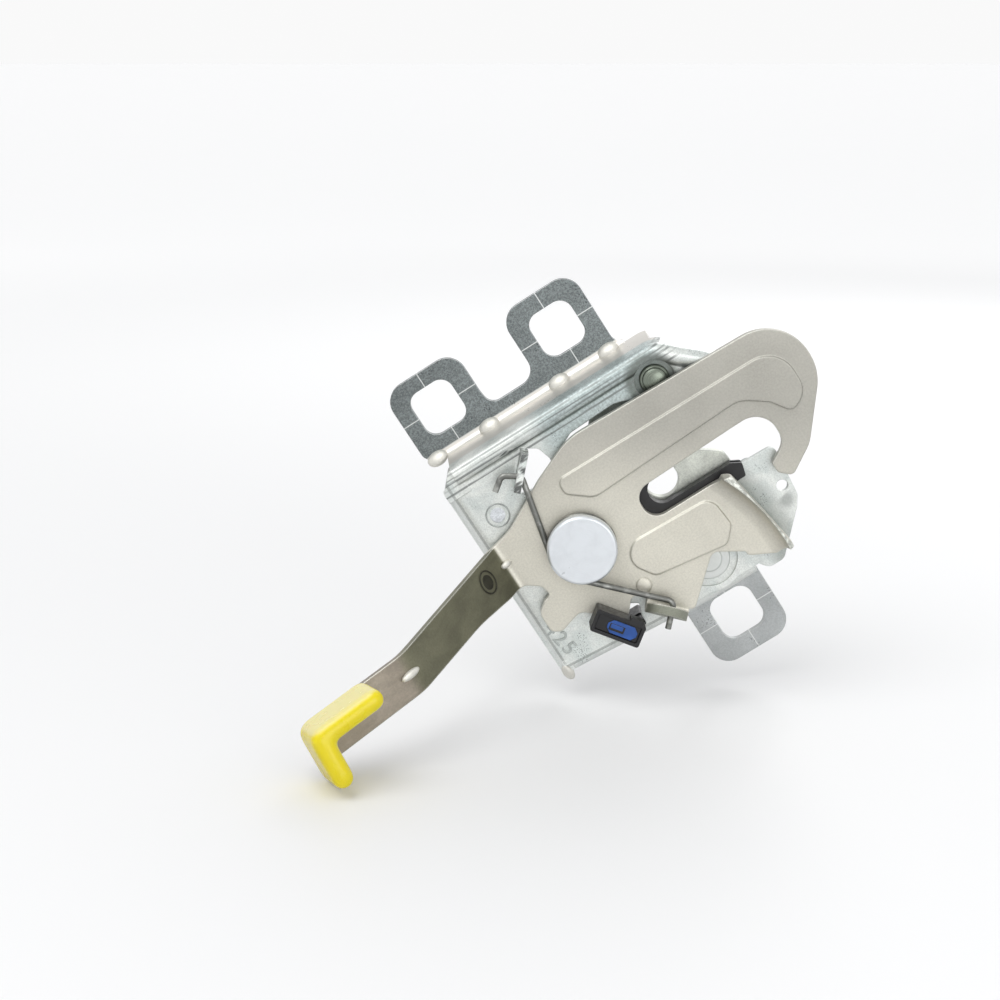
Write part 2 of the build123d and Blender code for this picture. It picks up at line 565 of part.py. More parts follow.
case = plate(case_line, *CASE_Y)
hollow = plan(CASE_Y[1]) * inside(case_line, CASE_WALL)
case -= extrude(hollow, CASE_Y[1] - CASE_Y[0] - CASE_WALL, dir=(0, -1, 0))
case -= Pos(PLUNGER_X, PLUNGER_Y, 3) * Cylinder(PLUNGER_R + RUN, 5)
for at in SWITCH_PEGS:
    case += disc(at, 1.5, 0, CASE_Y[0] + 0.5)
    case += disc(at, 2.4, SHEET, CASE_Y[0] + 0.5)
cover = plate(case_line, CASE_Y[1], CASE_Y[1] + COVER)
cover += extrude(plan(CASE_Y[1]) * inside(case_line, CASE_WALL + 0.1), 1.0, dir=(0, -1, 0))
plunger = revolve(
    Plane((PLUNGER_X, PLUNGER_Y, 0), x_dir=(1, 0, 0), z_dir=(0, -1, 0)) * outline(
        [(0, -3.0), (PLUNGER_R, -3.0), (PLUNGER_R, -2.0), (PLUNGER_R + 0.35, -2.0), (PLUNGER_R + 0.35, -0.8),
         (PLUNGER_R, -0.8), (PLUNGER_R, PLUNGER_TIP, PLUNGER_R - 0.02), (0, PLUNGER_TIP)]
    ),
    Axis((PLUNGER_X, PLUNGER_Y, 0), (0, 0, 1)), 360,
)
plunger_coil = wire(Pos(PLUNGER_X, PLUNGER_Y, -8.3) * Helix(1.4, 5.0, 0.8), 0.22)
blade = along(
    fold([(15.0, -4.6), (19.0, -4.6, 1), (22.5, -6.6, 1), (26.0, -6.6)], 0.3, 1),
    (0, 8.0, 0), (0, -1, 0), (1, 0, 0), 3.0,
)

# Connector shroud with its stem through the panel, insert and terminals
turn = Rot(0, 0, SHROUD_TURN)


def on_shroud(face, front, back):
    """Raise a face drawn square to the turned shroud between two depths."""
    return extrude(plan(back) * Pos(*SHROUD_AT) * turn * face, back - front, dir=(0, -1, 0))


shroud = on_shroud(RectangleRounded(SHROUD_W, SHROUD_H, 0.7), *SHROUD_Y)
shroud -= on_shroud(RectangleRounded(SHROUD_W - 2, SHROUD_H - 2, 0.4), SHROUD_Y[0] - 1, SHROUD_Y[1] - 2)
shroud += on_shroud(Pos(4.4, SHROUD_H / 2 + 0.5) * Rectangle(4.0, 1.0), SHROUD_Y[0], SHROUD_Y[0] + 4)
shroud += plate(
    [(28.9, -1.2, 0.5), (31.0, -1.2, 0.5), (31.0, 2.6, 0.5), (28.9, 2.6, 0.5)], SHROUD_Y[1] - 2, CASE_Y[0]
)
insert = on_shroud(
    outline([(-6.4, -2.3), (5.2, -2.3), (6.4, -1.0), (6.4, 1.0), (5.2, 2.3), (-6.4, 2.3)]),
    SHROUD_Y[0] + 0.8, SHROUD_Y[1] - 2,
)
insert -= on_shroud(Rectangle(7.6, 1.8), SHROUD_Y[0] - 1, SHROUD_Y[0] + 3.4)
pins = None
for shift in (0, 1):
    x = 29.6 + 0.8 * shift
    z = 1.7 - 2.0 * shift
    end = (22.4 + 3.6 * shift, -3.9 - 0.6 * shift)
    line = FilletPolyline(
        (x, CASE_Y[0] + 3.0, z), (x, SHROUD_Y[1] - 1.0, z), (end[0], SHROUD_Y[1] - 1.0, end[1]),
        (end[0], SHROUD_Y[1] - 5.0, end[1]), radius=0.9,
    )
    pin = wire(line, 0.4)
    pins = pin if pins is None else pins + pin
shroud -= pins
insert -= pins
case -= pins

export = {
    "housing": housing,
    "back_plate": back,
    "safety_hook": hook,
    "lever_cap": cap,
    "hook_rivet": rivet,
    "hook_washer": washer,
    "hook_spring": hook_spring,
    "claw": claw,
    "claw_rivet": claw_rivet,
    "claw_spring": claw_spring,
    "pawl": pawl,
    "pawl_rivet": pawl_rivet,
    "pawl_spring": pawl_spring,
    "slot_liner": liner,
    "switch_case": case,
    "switch_cover": cover,
    "switch_plunger": plunger,
    "plunger_spring": plunger_coil,
    "contact_blade": blade,
    "connector_shroud": shroud,
    "connector_insert": insert,
    "terminal_pins": pins,
}

os.makedirs("parts", exist_ok=True)
place = Pos(-MOUNT[0], -MOUNT[1], -MOUNT[2])
for name, shape in export.items():
    export_step(place * shape, f"parts/{name}.step")
    print(name, round(shape.volume, 1), len(shape.solids()), shape.is_valid)
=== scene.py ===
import json
import math

import bpy
from bpy.props import FloatProperty, FloatVectorProperty, PointerProperty, StringProperty
from mathutils import Matrix, Vector

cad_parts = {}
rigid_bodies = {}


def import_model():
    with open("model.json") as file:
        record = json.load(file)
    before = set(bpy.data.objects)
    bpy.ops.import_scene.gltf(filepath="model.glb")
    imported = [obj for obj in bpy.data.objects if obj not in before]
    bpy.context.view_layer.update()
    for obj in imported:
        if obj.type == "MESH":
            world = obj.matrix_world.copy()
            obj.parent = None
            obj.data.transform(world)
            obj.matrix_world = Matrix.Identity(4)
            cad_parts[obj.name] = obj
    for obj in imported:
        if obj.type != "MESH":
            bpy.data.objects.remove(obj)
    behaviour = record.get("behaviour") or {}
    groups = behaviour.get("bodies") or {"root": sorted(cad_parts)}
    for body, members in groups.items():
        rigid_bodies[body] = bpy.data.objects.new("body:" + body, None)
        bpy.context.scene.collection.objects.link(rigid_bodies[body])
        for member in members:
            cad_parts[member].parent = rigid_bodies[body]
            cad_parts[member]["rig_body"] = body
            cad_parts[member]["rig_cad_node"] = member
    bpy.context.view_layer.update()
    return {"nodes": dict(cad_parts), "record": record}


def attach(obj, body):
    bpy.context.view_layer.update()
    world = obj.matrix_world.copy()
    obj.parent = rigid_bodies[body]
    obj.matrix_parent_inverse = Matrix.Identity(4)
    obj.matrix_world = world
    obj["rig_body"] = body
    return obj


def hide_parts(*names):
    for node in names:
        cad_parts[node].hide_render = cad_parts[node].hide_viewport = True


bl_info = {
    "name": "Bonnet latch",
    "version": (1, 0, 0),
    "blender": (4, 5, 0),
    "location": "3D View > Sidebar > Bonnet latch",
    "description": "Dresses the packed bonnet latch with pressed details and finishes, and sets up a studio",
    "category": "Object",
}

# The frame is loaded here, so defaults can come from it.
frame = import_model()

MM = 0.001

# Directions in the row frame
RIGHT = Vector((1, 0, 0))
BACK = Vector((0, 1, 0))
FRONT = Vector((0, -1, 0))
UP = Vector((0, 0, 1))

# Square to the housing's right lip, which leans a little
LIP = Vector((1, 0, -0.075))

# Directions that the lever's two flats face
LEVER_NORMAL = Vector((0.0, -0.521, 0.853))
GRIP_NORMAL = Vector((0.0, -math.cos(math.radians(20)), math.sin(math.radians(20))))

# How far the panel's front stands before the plane that the ears are screwed to, in metres
PANEL_FRONT = -0.017


def box_of(name):
    """Lowest and highest corner of a node of the frame, in metres."""
    points = [vertex.co for vertex in frame["nodes"][name].data.vertices]
    low = Vector([min(point[axis] for point in points) for axis in range(3)])
    high = Vector([max(point[axis] for point in points) for axis in range(3)])
    return low, high


def axis_of(rivet):
    """Where a rivet's axis meets the panel's front, in metres, to a hundredth of a millimetre."""
    low, high = box_of(rivet)
    middle = (low + high) / 2
    return Vector((round(middle.x, 5), PANEL_FRONT, round(middle.z, 5)))


# The hook turns on the big rivet. Places below are millimetres from here, unless they say metres.
PIVOT = axis_of("hook_rivet")


def at_pivot(x, y, z):
    """Row-frame point, in metres, from a point in millimetres measured from the hook's pivot."""
    return PIVOT + Vector((x, y, z)) * MM


def colour(name, text, red, green, blue):
    """Colour property whose default is written as screen values from 0 to 255."""
    linear = []
    for value in (red, green, blue):
        share = value / 255
        linear.append(share / 12.92 if share <= 0.04045 else ((share + 0.055) / 1.055) ** 2.4)
    return FloatVectorProperty(
        name=name, description=text, subtype="COLOR", size=3, min=0.0, max=1.0, default=linear
    )


def length(name, text, default, low, high):
    """Length property whose default and limits are written in millimetres."""
    return FloatProperty(
        name=name, description=text, default=default * MM, min=low * MM, max=high * MM, unit="LENGTH"
    )


class LatchColours(bpy.types.PropertyGroup):
    """Colours of the latch's finishes, and of the light and shade painted into them."""

    zinc: colour("Housing zinc", "Bright zinc plate of the housing", 222, 225, 221)
    # Random dull clouds; darker copies of this tone are also painted shade and painted dark reflections on
    # the housing
    zinc_dull_and_shade: colour("Housing zinc, dull patches", "Darker clouds in the housing's plate", 200, 206, 203)
    ear: colour("Left ears", "Dull speckled plate on the two left ears", 116, 122, 122)
    ear_right: colour("Right ear", "Paler plate on the right ear", 172, 175, 175)
    # Pale tone painted as the wall's light, faded towards the rim by painted shade
    wall: colour("Ear wall", "Smooth pale plate between the rim and the ears", 216, 213, 207)
    hook: colour("Hook steel", "Warm satin plate of the safety hook's arm", 170, 168, 160)
    hook_pale: colour("Hook steel, lower part", "Paler plate round the pivot and the jaw", 208, 205, 193)
    # Painted dark reflection: the lever is the hook's own plate, darkened where it faces a dark room
    lever: colour("Lever steel", "Dark plate of the folded lever", 110, 109, 90)
    # Painted light: the grip below the elbow faces the light another way and is made paler
    lever_painted_light: colour("Lever steel, below the elbow", "Paler plate beside the cap", 137, 129, 117)
    hook_edge: colour("Hook edges", "Rubbed edges of the safety hook and its pressed fields", 226, 225, 216)
    lug: colour("Lug", "Shaded plate of the lug that carries the spring", 144, 146, 133)
    mark: colour("Stamped mark", "Dull line of the stamped ring on the lever", 62, 61, 50)
    # Pale tone of the pressed metal, painted bright as the darts' highlight
    dart: colour("Dart", "Bright stretched metal of the pressed darts", 218, 216, 208)
    # Tone of bare metal on cut edges and scribed lines, also laid on the housing's bends as a painted
    # highlight
    bare_edge_and_highlight: colour("Sheared edge", "Bright metal along the cut edges", 226, 228, 226)
    rivet: colour("Rivet head", "Bright face of the pivot rivet", 222, 226, 230)
    pin: colour("Claw rivet", "Bright turned head of the claw's rivet", 214, 217, 214)
    pawl_pin: colour("Pawl rivet", "Greenish head of the pawl's rivet", 128, 136, 124)
    wire: colour("Spring wire", "Oiled spring steel", 136, 137, 133)
    claw: colour("Claw steel", "Hardened plate of claw and pawl", 214, 217, 208)
    cap: colour("Cap yellow", "Soft plastic of the lever's cap", 232, 214, 6)
    cap_deep: colour("Cap yellow, folds", "Deeper yellow where the cap is thick", 204, 184, 4)
    # Cream tone painted on the cap's broad side as an overexposed sheen
    cap_painted_sheen: colour("Cap, pale side", "Cream tone of the cap's broad side", 240, 232, 176)
    cut: colour("Cut end", "Bright sheared end of the ramp's flange", 206, 208, 200)
    black: colour("Black plastic", "Moulded liner, shroud and switch case", 17, 17, 19)
    blue: colour("Connector insert", "Blue insert in the shroud", 28, 74, 146)
    brass: colour("Contact brass", "Blade and terminals", 190, 160, 90)
    plunger: colour("Plunger plastic", "Pale acetal plunger", 205, 203, 194)
    floor: colour("Floor", "Studio floor and backdrop", 228, 228, 228)


class LatchSizes(bpy.types.PropertyGroup):
    """Sizes of the pressed and stamped details."""

    dart_length: length("Dart length", "Length of a stiffening dart along the bend", 6.6, 1.0, 10.0)
    dart_width: length("Dart width", "Width of a stiffening dart", 5.2, 1.0, 8.0)
    mark_radius: length("Stamped ring radius", "Radius of the round stamped marks", 3.6, 1.0, 6.0)
    digit_height: length("Digit height", "Height of the embossed digits", 4.6, 2.0, 8.0)
    digit_rise: length("Digit rise", "How far digits and rings stand out of the sheet", 0.34, 0.1, 1.0)
    dimple_radius: length("Dimple radius", "Radius of the small pressed dimple on the hook", 2.4, 1.0, 5.0)
    digits: StringProperty(
        name="Digits", description="Plain digits embossed near the panel's lower edge", default="425"
    )


def choices():
    """The user's colours and sizes."""
    scene = bpy.context.scene
    return scene.latch_colours, scene.latch_sizes


def scaled(tone, factor, lift=0.0):
    """A tone made darker or paler by a factor, never past white."""
    return [min(1.0, value * factor + lift) for value in tone]


# Finishes

# Where a Mix node keeps its two colours and its colour output
MIX_FIRST = 6
MIX_SECOND = 7
MIX_OUT = 2

# Spacing of the nodes in the editor
NODE_STEP = (190, 160)
NODE_ROWS = 4

# Rays that the Bevel node sends for a softened normal
EDGE_SAMPLES = 6


class Tree:
    """A material, and the shader nodes that are added to it and linked."""

    def __init__(self, name):
        self.material = bpy.data.materials.new(name)
        self.material.use_nodes = True
        self.nodes = self.material.node_tree.nodes
        self.links = self.material.node_tree.links
        self.nodes.clear()
        self.out = self.add("ShaderNodeOutputMaterial")
        self.shader = self.add("ShaderNodeBsdfPrincipled")
        self.link(self.shader, 0, self.out, "Surface")
        self.place = self.add("ShaderNodeTexCoord")

    def add(self, kind, inputs=None, **settings):
        """New node with its settings and the values of its unlinked sockets."""
        count = len(self.nodes)
        made = self.nodes.new(kind)
        made.location = (-NODE_STEP[0] * count, -NODE_STEP[1] * (count % NODE_ROWS))
        for key, value in settings.items():
            setattr(made, key, value)
        for key, value in (inputs or {}).items():
            made.inputs[key].default_value = value
        return made

    def link(self, source, output, target, socket):
        """Joins two sockets."""
        self.links.new(source.outputs[output], target.inputs[socket])

    def put(self, value, target, socket):
        """Links a node's colour to a socket, or writes a plain colour into it."""
        if isinstance(value, bpy.types.Node):
            self.link(value, MIX_OUT if value.bl_idname == "ShaderNodeMix" else 0, target, socket)
        else:
            room = len(target.inputs[socket].default_value)
            target.inputs[socket].default_value = (*value, 1.0)[:room]

    def noise(self, scale, detail=3.0, rough=0.5, stretch=None, warp=0.0):
        """Noise with a scale per metre in Object coordinates; stretch draws it out along an axis."""
        made = self.add(
            "ShaderNodeTexNoise", {"Scale": scale, "Detail": detail, "Roughness": rough, "Distortion": warp}
        )
        if stretch is None:
            self.link(self.place, "Object", made, "Vector")
        else:
            drawn = self.add("ShaderNodeMapping", {"Scale": stretch})
            self.link(self.place, "Object", drawn, "Vector")
            self.link(drawn, 0, made, "Vector")
        return made

    def ramp(self, source, limits, values=(0.0, 1.0), output=0):
        """Maps what lies between two limits onto two values, softly at both ends."""
        made = self.add(
            "ShaderNodeMapRange",
            {"From Min": limits[0], "From Max": limits[1], "To Min": values[0], "To Max": values[1]},
            interpolation_type="SMOOTHSTEP",
        )
        self.link(source, output, made, "Value")
        return made

    def math(self, operation, first, second=None):
        """Adds a maths node; each operand is a node or a number."""
        made = self.add("ShaderNodeMath", operation=operation)
        for index, value in enumerate((first, second)):
            if isinstance(value, bpy.types.Node):
                self.link(value, 0, made, index)
            elif value is not None:
                made.inputs[index].default_value = value
        return made

    def mix(self, factor, first, second):
        """Mixes two colours, each given as a colour or a node."""
        made = self.add("ShaderNodeMix", data_type="RGBA")
        self.link(factor, 0, made, 0)
        self.put(first, made, MIX_FIRST)
        self.put(second, made, MIX_SECOND)
        return made

    def veil(self, source, mask, share, tone):
        """Lays a share of a tone over a colour where a mask is 1."""
        return self.mix(self.math("MULTIPLY", mask, share), source, tone)

    def shade(self, source, factor):
        """Brightens or darkens a colour by a factor that varies over the surface."""
        made = self.add("ShaderNodeVectorMath", operation="SCALE")
        self.put(source, made, 0)
        self.link(factor, 0, made, "Scale")
        return made

    def dim(self, source, mask, factor):
        """Multiplies a colour by one factor where a mask is 1."""
        return self.shade(source, self.ramp(mask, (0.0, 1.0), (1.0, factor)))

    def edge(self, radius, limits):
        """Softened normal for the sheet's edges, and a mask that is 1 along them."""
        soft = self.add("ShaderNodeBevel", {"Radius": radius}, samples=EDGE_SAMPLES)
        true = self.add("ShaderNodeNewGeometry")
        facing = self.add("ShaderNodeVectorMath", operation="DOT_PRODUCT")
        self.link(soft, 0, facing, 0)
        self.link(true, "Normal", facing, 1)
        away = self.add("ShaderNodeMath", {0: 1.0}, operation="SUBTRACT")
        self.link(facing, "Value", away, 1)
        return soft, self.ramp(away, limits)

    def bump(self, height, distance, soft=None, strength=1.0):
        """Sends a bump to the shader, on top of a softened normal if there is one."""
        made = self.add("ShaderNodeBump", {"Strength": strength, "Distance": distance})
        self.link(height, 0, made, "Height")
        if soft is not None:
            self.link(soft, 0, made, "Normal")
        self.link(made, 0, self.shader, "Normal")

    def gloss_from(self, source):
        """Sends a value to the shader's roughness."""
        self.link(source, 0, self.shader, "Roughness")

    def colour_from(self, source):
        """Sends a colour mix to the shader and gives back the finished material."""
        self.link(source, MIX_OUT, self.shader, "Base Color")
        return self.material


def all_of(tree, *masks):
    """1 where every mask is 1."""
    whole = masks[0]
    for mask in masks[1:]:
        whole = tree.math("MULTIPLY", whole, mask)
    return whole


def any_of(tree, *masks):
    """1 where at least one mask is 1."""
    whole = masks[0]
    for mask in masks[1:]:
        whole = tree.math("MAXIMUM", whole, mask)
    return whole


def slope(tree, way, start, end, values=(0.0, 1.0)):
    """Mask along a direction: 0 up to the start and 1 from the end on, which may lie on either side."""
    along = tree.add("ShaderNodeVectorMath", {1: tuple(way)}, operation="DOT_PRODUCT")
    tree.link(tree.place, "Object", along, 0)
    base = way.dot(PIVOT)
    return tree.ramp(along, (base + start * MM, base + end * MM), values, "Value")


def stripe(tree, way, centre, half, soft):
    """1 inside a stripe that lies square to a direction."""
    rise = slope(tree, way, centre - half - soft, centre - half)
    fall = slope(tree, way, centre + half + soft, centre + half)
    return all_of(tree, rise, fall)


def off_axis(tree, centre):
    """Distance from an axis that runs from front to back through a point, in metres."""
    flat = tree.add("ShaderNodeMapping", {"Location": (-centre.x, 0.0, -centre.z), "Scale": (1.0, 0.0, 1.0)})
    tree.link(tree.place, "Object", flat, "Vector")
    away = tree.add("ShaderNodeVectorMath", operation="LENGTH")
    tree.link(flat, 0, away, 0)
    return away


def near(tree, x, z, radius, soft):
    """1 inside a circle on the panel."""
    away = off_axis(tree, at_pivot(x, 0, z))
    return tree.ramp(away, ((radius + soft) * MM, radius * MM), output="Value")


# Noise of the plate's finest grain, per metre, and how deep it goes, in metres
FINE_GRAIN = 2300.0
GRAIN_DEPTH = 0.00002

# A worn edge starts to brighten at this share of the lean at which it is fully bright
EDGE_START = 0.0571


def plate_surface(name, metal, rough, clouds, round_off=0.35, worn=0.35):
    """New material with plated sheet's gloss, grain and rounded edges, its edge mask and its patterns."""
    tree = Tree(name)
    tree.shader.inputs["Metallic"].default_value = metal
    soft, rim = tree.edge(round_off * MM, (worn * EDGE_START, worn))
    cloud = tree.noise(clouds, detail=4.0, rough=0.6, warp=0.5)
    fine = tree.noise(FINE_GRAIN, detail=2.0, rough=0.7)
    lines = tree.noise(420.0, rough=0.6, stretch=(0.12, 1.0, 1.0))
    gloss = tree.ramp(cloud, (0.3, 0.7), (rough + 0.08, rough - 0.05))
    tree.gloss_from(tree.math("ADD", gloss, tree.ramp(fine, (0.3, 0.7), (-0.04, 0.06))))
    height = tree.math("ADD", fine, tree.math("MULTIPLY", lines, 0.8))
    tree.bump(height, GRAIN_DEPTH, soft)
    return tree, rim, (cloud, fine, lines)


def plate_tones(tree, patterns, bright, dull, speckle):
    """Soft clouds between two tones, with fine speckle and faint rolling lines."""
    cloud, fine, lines = patterns
    body = tree.mix(tree.ramp(cloud, (0.36, 0.66)), bright, dull)
    body = tree.shade(body, tree.ramp(fine, (0.34, 0.66), (1.0 - speckle, 1.0 + speckle)))
    return tree.shade(body, tree.ramp(lines, (0.35, 0.7), (1.03, 0.95)))


# The housing's finish and its painted light and shade change with the place on it. Middles of the ears'
# square holes: x and z
EAR_HOLES = ((-53.5, -15.0), (-54.2, 26.7), (47.3, 26.2))

# Scribed lines and how far they reach from a hole's middle: half the size, and its soft edge
CROSS_LINE = (0.08, 0.12)
CROSS_REACH = (12.5, 0.8)

# Where the bend of the bottom edge starts, along UP, and that of the right lip, along LIP
BOTTOM_BEND = -23.7
LIP_BEND = 31.6

# Painted shade line at the start of both bends: half its width, and its soft edge
BEND_SHADE_LINE = (0.22, 0.35)

# Upright lines of painted dark reflection in the zinc beside the rim: x and half the width, and the soft
# edge of all
RIM_REFLECTION_LINES = ((-37.3, 0.16), (-35.9, 0.10), (-34.9, 0.22), (-33.5, 0.12), (-31.7, 0.20))
RIM_REFLECTION_SOFT = 0.22

# Wall that runs back to the left ears, painted pale as a lit face, and the groove before it, painted as a
# dark shade line: middle, half width and soft edge, along x
WALL = (-40.1, 1.9, 0.6)
RIM_GROOVE = (-37.6, 0.35, 0.4)


def ear_plate(tree, colours):
    """Speckled plate of the ears, calmer and paler on the right one, with the scribed crosses."""
    speck = tree.ramp(tree.noise(FINE_GRAIN, rough=0.8), (0.38, 0.64), (0.72, 1.42))
    haze = tree.ramp(tree.noise(70.0), (0.3, 0.7), (0.90, 1.10))
    right_side = slope(tree, RIGHT, -24.0, 16.0)
    strength = tree.math("SUBTRACT", 1.0, tree.math("MULTIPLY", right_side, 0.72))
    speck = tree.math("ADD", 1.0, tree.math("MULTIPLY", tree.math("SUBTRACT", speck, 1.0), strength))
    plate = tree.mix(right_side, colours.ear, colours.ear_right)
    plate = tree.shade(tree.shade(plate, speck), haze)
    lines = []
    for x, z in EAR_HOLES:
        lines.append(all_of(tree, stripe(tree, RIGHT, x, *CROSS_LINE), stripe(tree, UP, z, *CROSS_REACH)))
        lines.append(all_of(tree, stripe(tree, UP, z, *CROSS_LINE), stripe(tree, RIGHT, x, *CROSS_REACH)))
    return tree.veil(plate, any_of(tree, *lines), 0.85, colours.bare_edge_and_highlight)


def bends(tree, panel, colours):
    """Bottom edge and right lip: a painted shade line where each bend starts, a corner painted lighter and
    painted highlights on the bent edges.
    """
    front = slope(tree, BACK, 1.6, 1.0)
    # Painted shade: a dull line where each bend starts
    bottom_shade_line = all_of(tree, stripe(tree, UP, BOTTOM_BEND, *BEND_SHADE_LINE), slope(tree, RIGHT, 30.0, 28.0))
    lip_shade_line = all_of(tree, stripe(tree, LIP, LIP_BEND, *BEND_SHADE_LINE), slope(tree, UP, 12.0, 10.0))
    panel = tree.dim(panel, all_of(tree, any_of(tree, bottom_shade_line, lip_shade_line), front), 0.66)
    # Painted light on the lower right corner, which lies in shade
    corner = all_of(tree, slope(tree, RIGHT, 12.0, 20.0), slope(tree, UP, -6.0, -12.0))
    panel = tree.dim(panel, corner, 1.18)
    # Painted highlights on the bent edges, in the bare edge tone
    bottom_bend = slope(tree, UP, BOTTOM_BEND - 0.3, BOTTOM_BEND - 0.9)
    lip_bend = slope(tree, LIP, LIP_BEND + 0.5, LIP_BEND + 1.1)
    bright = all_of(tree, any_of(tree, bottom_bend, lip_bend), front)
    return tree.veil(panel, bright, 0.55, colours.bare_edge_and_highlight)


def spring_tab(tree, panel):
    """Painted reflections: chrome-like streaks of light and dark on the tab that holds the spring's end."""
    tab = all_of(tree, slope(tree, BACK, -0.3, -0.8), near(tree, x=-28.2, z=-3.6, radius=6.2, soft=0.3))
    streaks_and_reflections = tree.noise(520.0, detail=2.0, stretch=(1.0, 1.0, 0.35))
    return tree.mix(tab, panel, tree.shade(panel, tree.ramp(streaks_and_reflections, (0.44, 0.56), (0.20, 1.15))))


def grey_zinc(tree, panel, colours):
    """Cool grey zinc between the rim and the hook's arm."""
    beside_rim = slope(tree, RIGHT, -12.0, -22.0)
    zone = all_of(tree, beside_rim, slope(tree, UP, 2.0, 12.0), slope(tree, UP, 51.0, 45.0))
    red, green, blue = colours.zinc_dull_and_shade
    speck = tree.ramp(tree.noise(1300.0, rough=0.7), (0.34, 0.66), (0.66, 0.98))
    return tree.mix(zone, panel, tree.shade((red * 0.92, green * 0.98, blue), speck))


def shadows(tree, panel, colours):
    """Painted shade in the dish round the pawl's rivet, painted shade in the upper right corner, painted
    shadow beside the hook's ramp.
    """
    # Painted shade in the dish, in a dark copy of the pawl rivet's green
    dish = all_of(tree, near(tree, x=-29.3, z=42.4, radius=6.6, soft=2.4), slope(tree, BACK, 3.5, 3.0))
    panel = tree.veil(panel, dish, 0.72, scaled(colours.pawl_pin, 0.42))
    # Painted shade in the rolled upper right corner
    upper_right = near(tree, x=21.5, z=56.6, radius=0.8, soft=2.8)
    roll = all_of(tree, upper_right, slope(tree, Vector((1, 0, 0.2)), 30.8, 31.6))
    panel = tree.veil(panel, roll, 0.48, scaled(colours.zinc_dull_and_shade, 0.22))
    # Painted shadow that the hook's ramp throws on the panel
    under_ramp = near(tree, x=28.5, z=-5.5, radius=56.5, soft=6.5)
    beside = all_of(tree, under_ramp, slope(tree, UP, 42.0, 47.0), slope(tree, RIGHT, 4.0, 9.0))
    return tree.veil(panel, beside, 0.42, scaled(colours.pawl_pin, 0.36))


def rim_reflections(tree, panel, colours):
    """Broken upright lines of painted dark reflection in the zinc beside the rim."""
    lines = any_of(tree, *[stripe(tree, RIGHT, x, half, RIM_REFLECTION_SOFT) for x, half in RIM_REFLECTION_LINES])
    broken = tree.noise(520.0, rough=0.6, stretch=(2.4, 1.0, 0.10))
    broken = tree.ramp(broken, (0.36, 0.56), (0.15, 0.82))
    lines = all_of(tree, lines, broken, slope(tree, UP, 54.0, 50.0))
    return tree.mix(lines, panel, scaled(colours.zinc_dull_and_shade, 0.30))


def housing_finish():
    """Housing: bright zinc panel with painted shade, shadows, highlights and reflections, a smooth wall
    painted pale as lit with a painted shade line in its groove, and speckled ears with scribed lines.
    """
    colours, _ = choices()
    tree, rim, patterns = plate_surface("zinc_sheet", metal=0.7, rough=0.34, clouds=95.0)
    panel = plate_tones(tree, patterns, colours.zinc, colours.zinc_dull_and_shade, speckle=0.10)
    panel = bends(tree, panel, colours)
    panel = spring_tab(tree, panel)
    panel = grey_zinc(tree, panel, colours)
    panel = shadows(tree, panel, colours)
    panel = rim_reflections(tree, panel, colours)
    wall = all_of(tree, stripe(tree, RIGHT, *WALL), slope(tree, BACK, 4.0, 6.0))
    behind = all_of(tree, slope(tree, BACK, 12.0, 14.0), tree.math("SUBTRACT", 1.0, wall))
    body = tree.mix(behind, panel, ear_plate(tree, colours))
    # Painted light on the wall: brightest by the ears' bend, painted shade towards the rim
    painted_falloff = slope(tree, RIGHT, -41.5, -38.0, values=(1.12, 0.86))
    body = tree.mix(wall, body, tree.shade(colours.wall, painted_falloff))
    # Painted shade: a dark line in the groove between the wall and the rim
    groove = all_of(tree, stripe(tree, RIGHT, *RIM_GROOVE), slope(tree, BACK, 1.5, 2.5))
    body = tree.dim(body, groove, 0.5)
    return tree.colour_from(tree.mix(rim, body, colours.bare_edge_and_highlight))


def lever_plate(tree, body, colours):
    """Lever plate painted dark as a reflection of the dark room, with random smears, and painted lighter
    below its elbow, where the grip is turned to the light.
    """
    smear = tree.noise(150.0, detail=5.0, rough=0.62, stretch=(1.0, 0.4, 0.5), warp=0.6)
    below_elbow = slope(tree, UP, -50.5, -54.5)
    # Painted dark reflection on the lever, painted light below its elbow
    plate = tree.mix(below_elbow, colours.lever, colours.lever_painted_light)
    plate = tree.shade(plate, tree.ramp(smear, (0.3, 0.7), (1.20, 0.86)))
    before_hook = slope(tree, BACK, -4.28, -4.75)
    below_root = slope(tree, UP, -14.0, -17.0)
    return tree.mix(all_of(tree, before_hook, below_root), body, plate)


def ramp_flange(tree, body, colours):
    """Flange of the jaw's ramp: painted shade where it turns out of the sheet, with a bright streaked cut
    end of bare metal and painted reflection.
    """
    jaw = slope(tree, UP, 34.0, 37.0)
    turned = slope(tree, BACK, -5.6, -10.0)
    # Painted shade where the flange turns out of the sheet
    body = tree.dim(body, all_of(tree, jaw, turned), 0.80)
    end = slope(tree, BACK, -10.3, -10.7)
    # Bare metal of the cut end, with streaks that are partly painted reflection
    streaks_and_reflections = tree.noise(700.0, rough=0.6, stretch=(1.0, 0.3, 1.0))
    bare = tree.shade(colours.cut, tree.ramp(streaks_and_reflections, (0.40, 0.60), (0.60, 1.18)))
    return tree.mix(all_of(tree, jaw, end), body, bare)


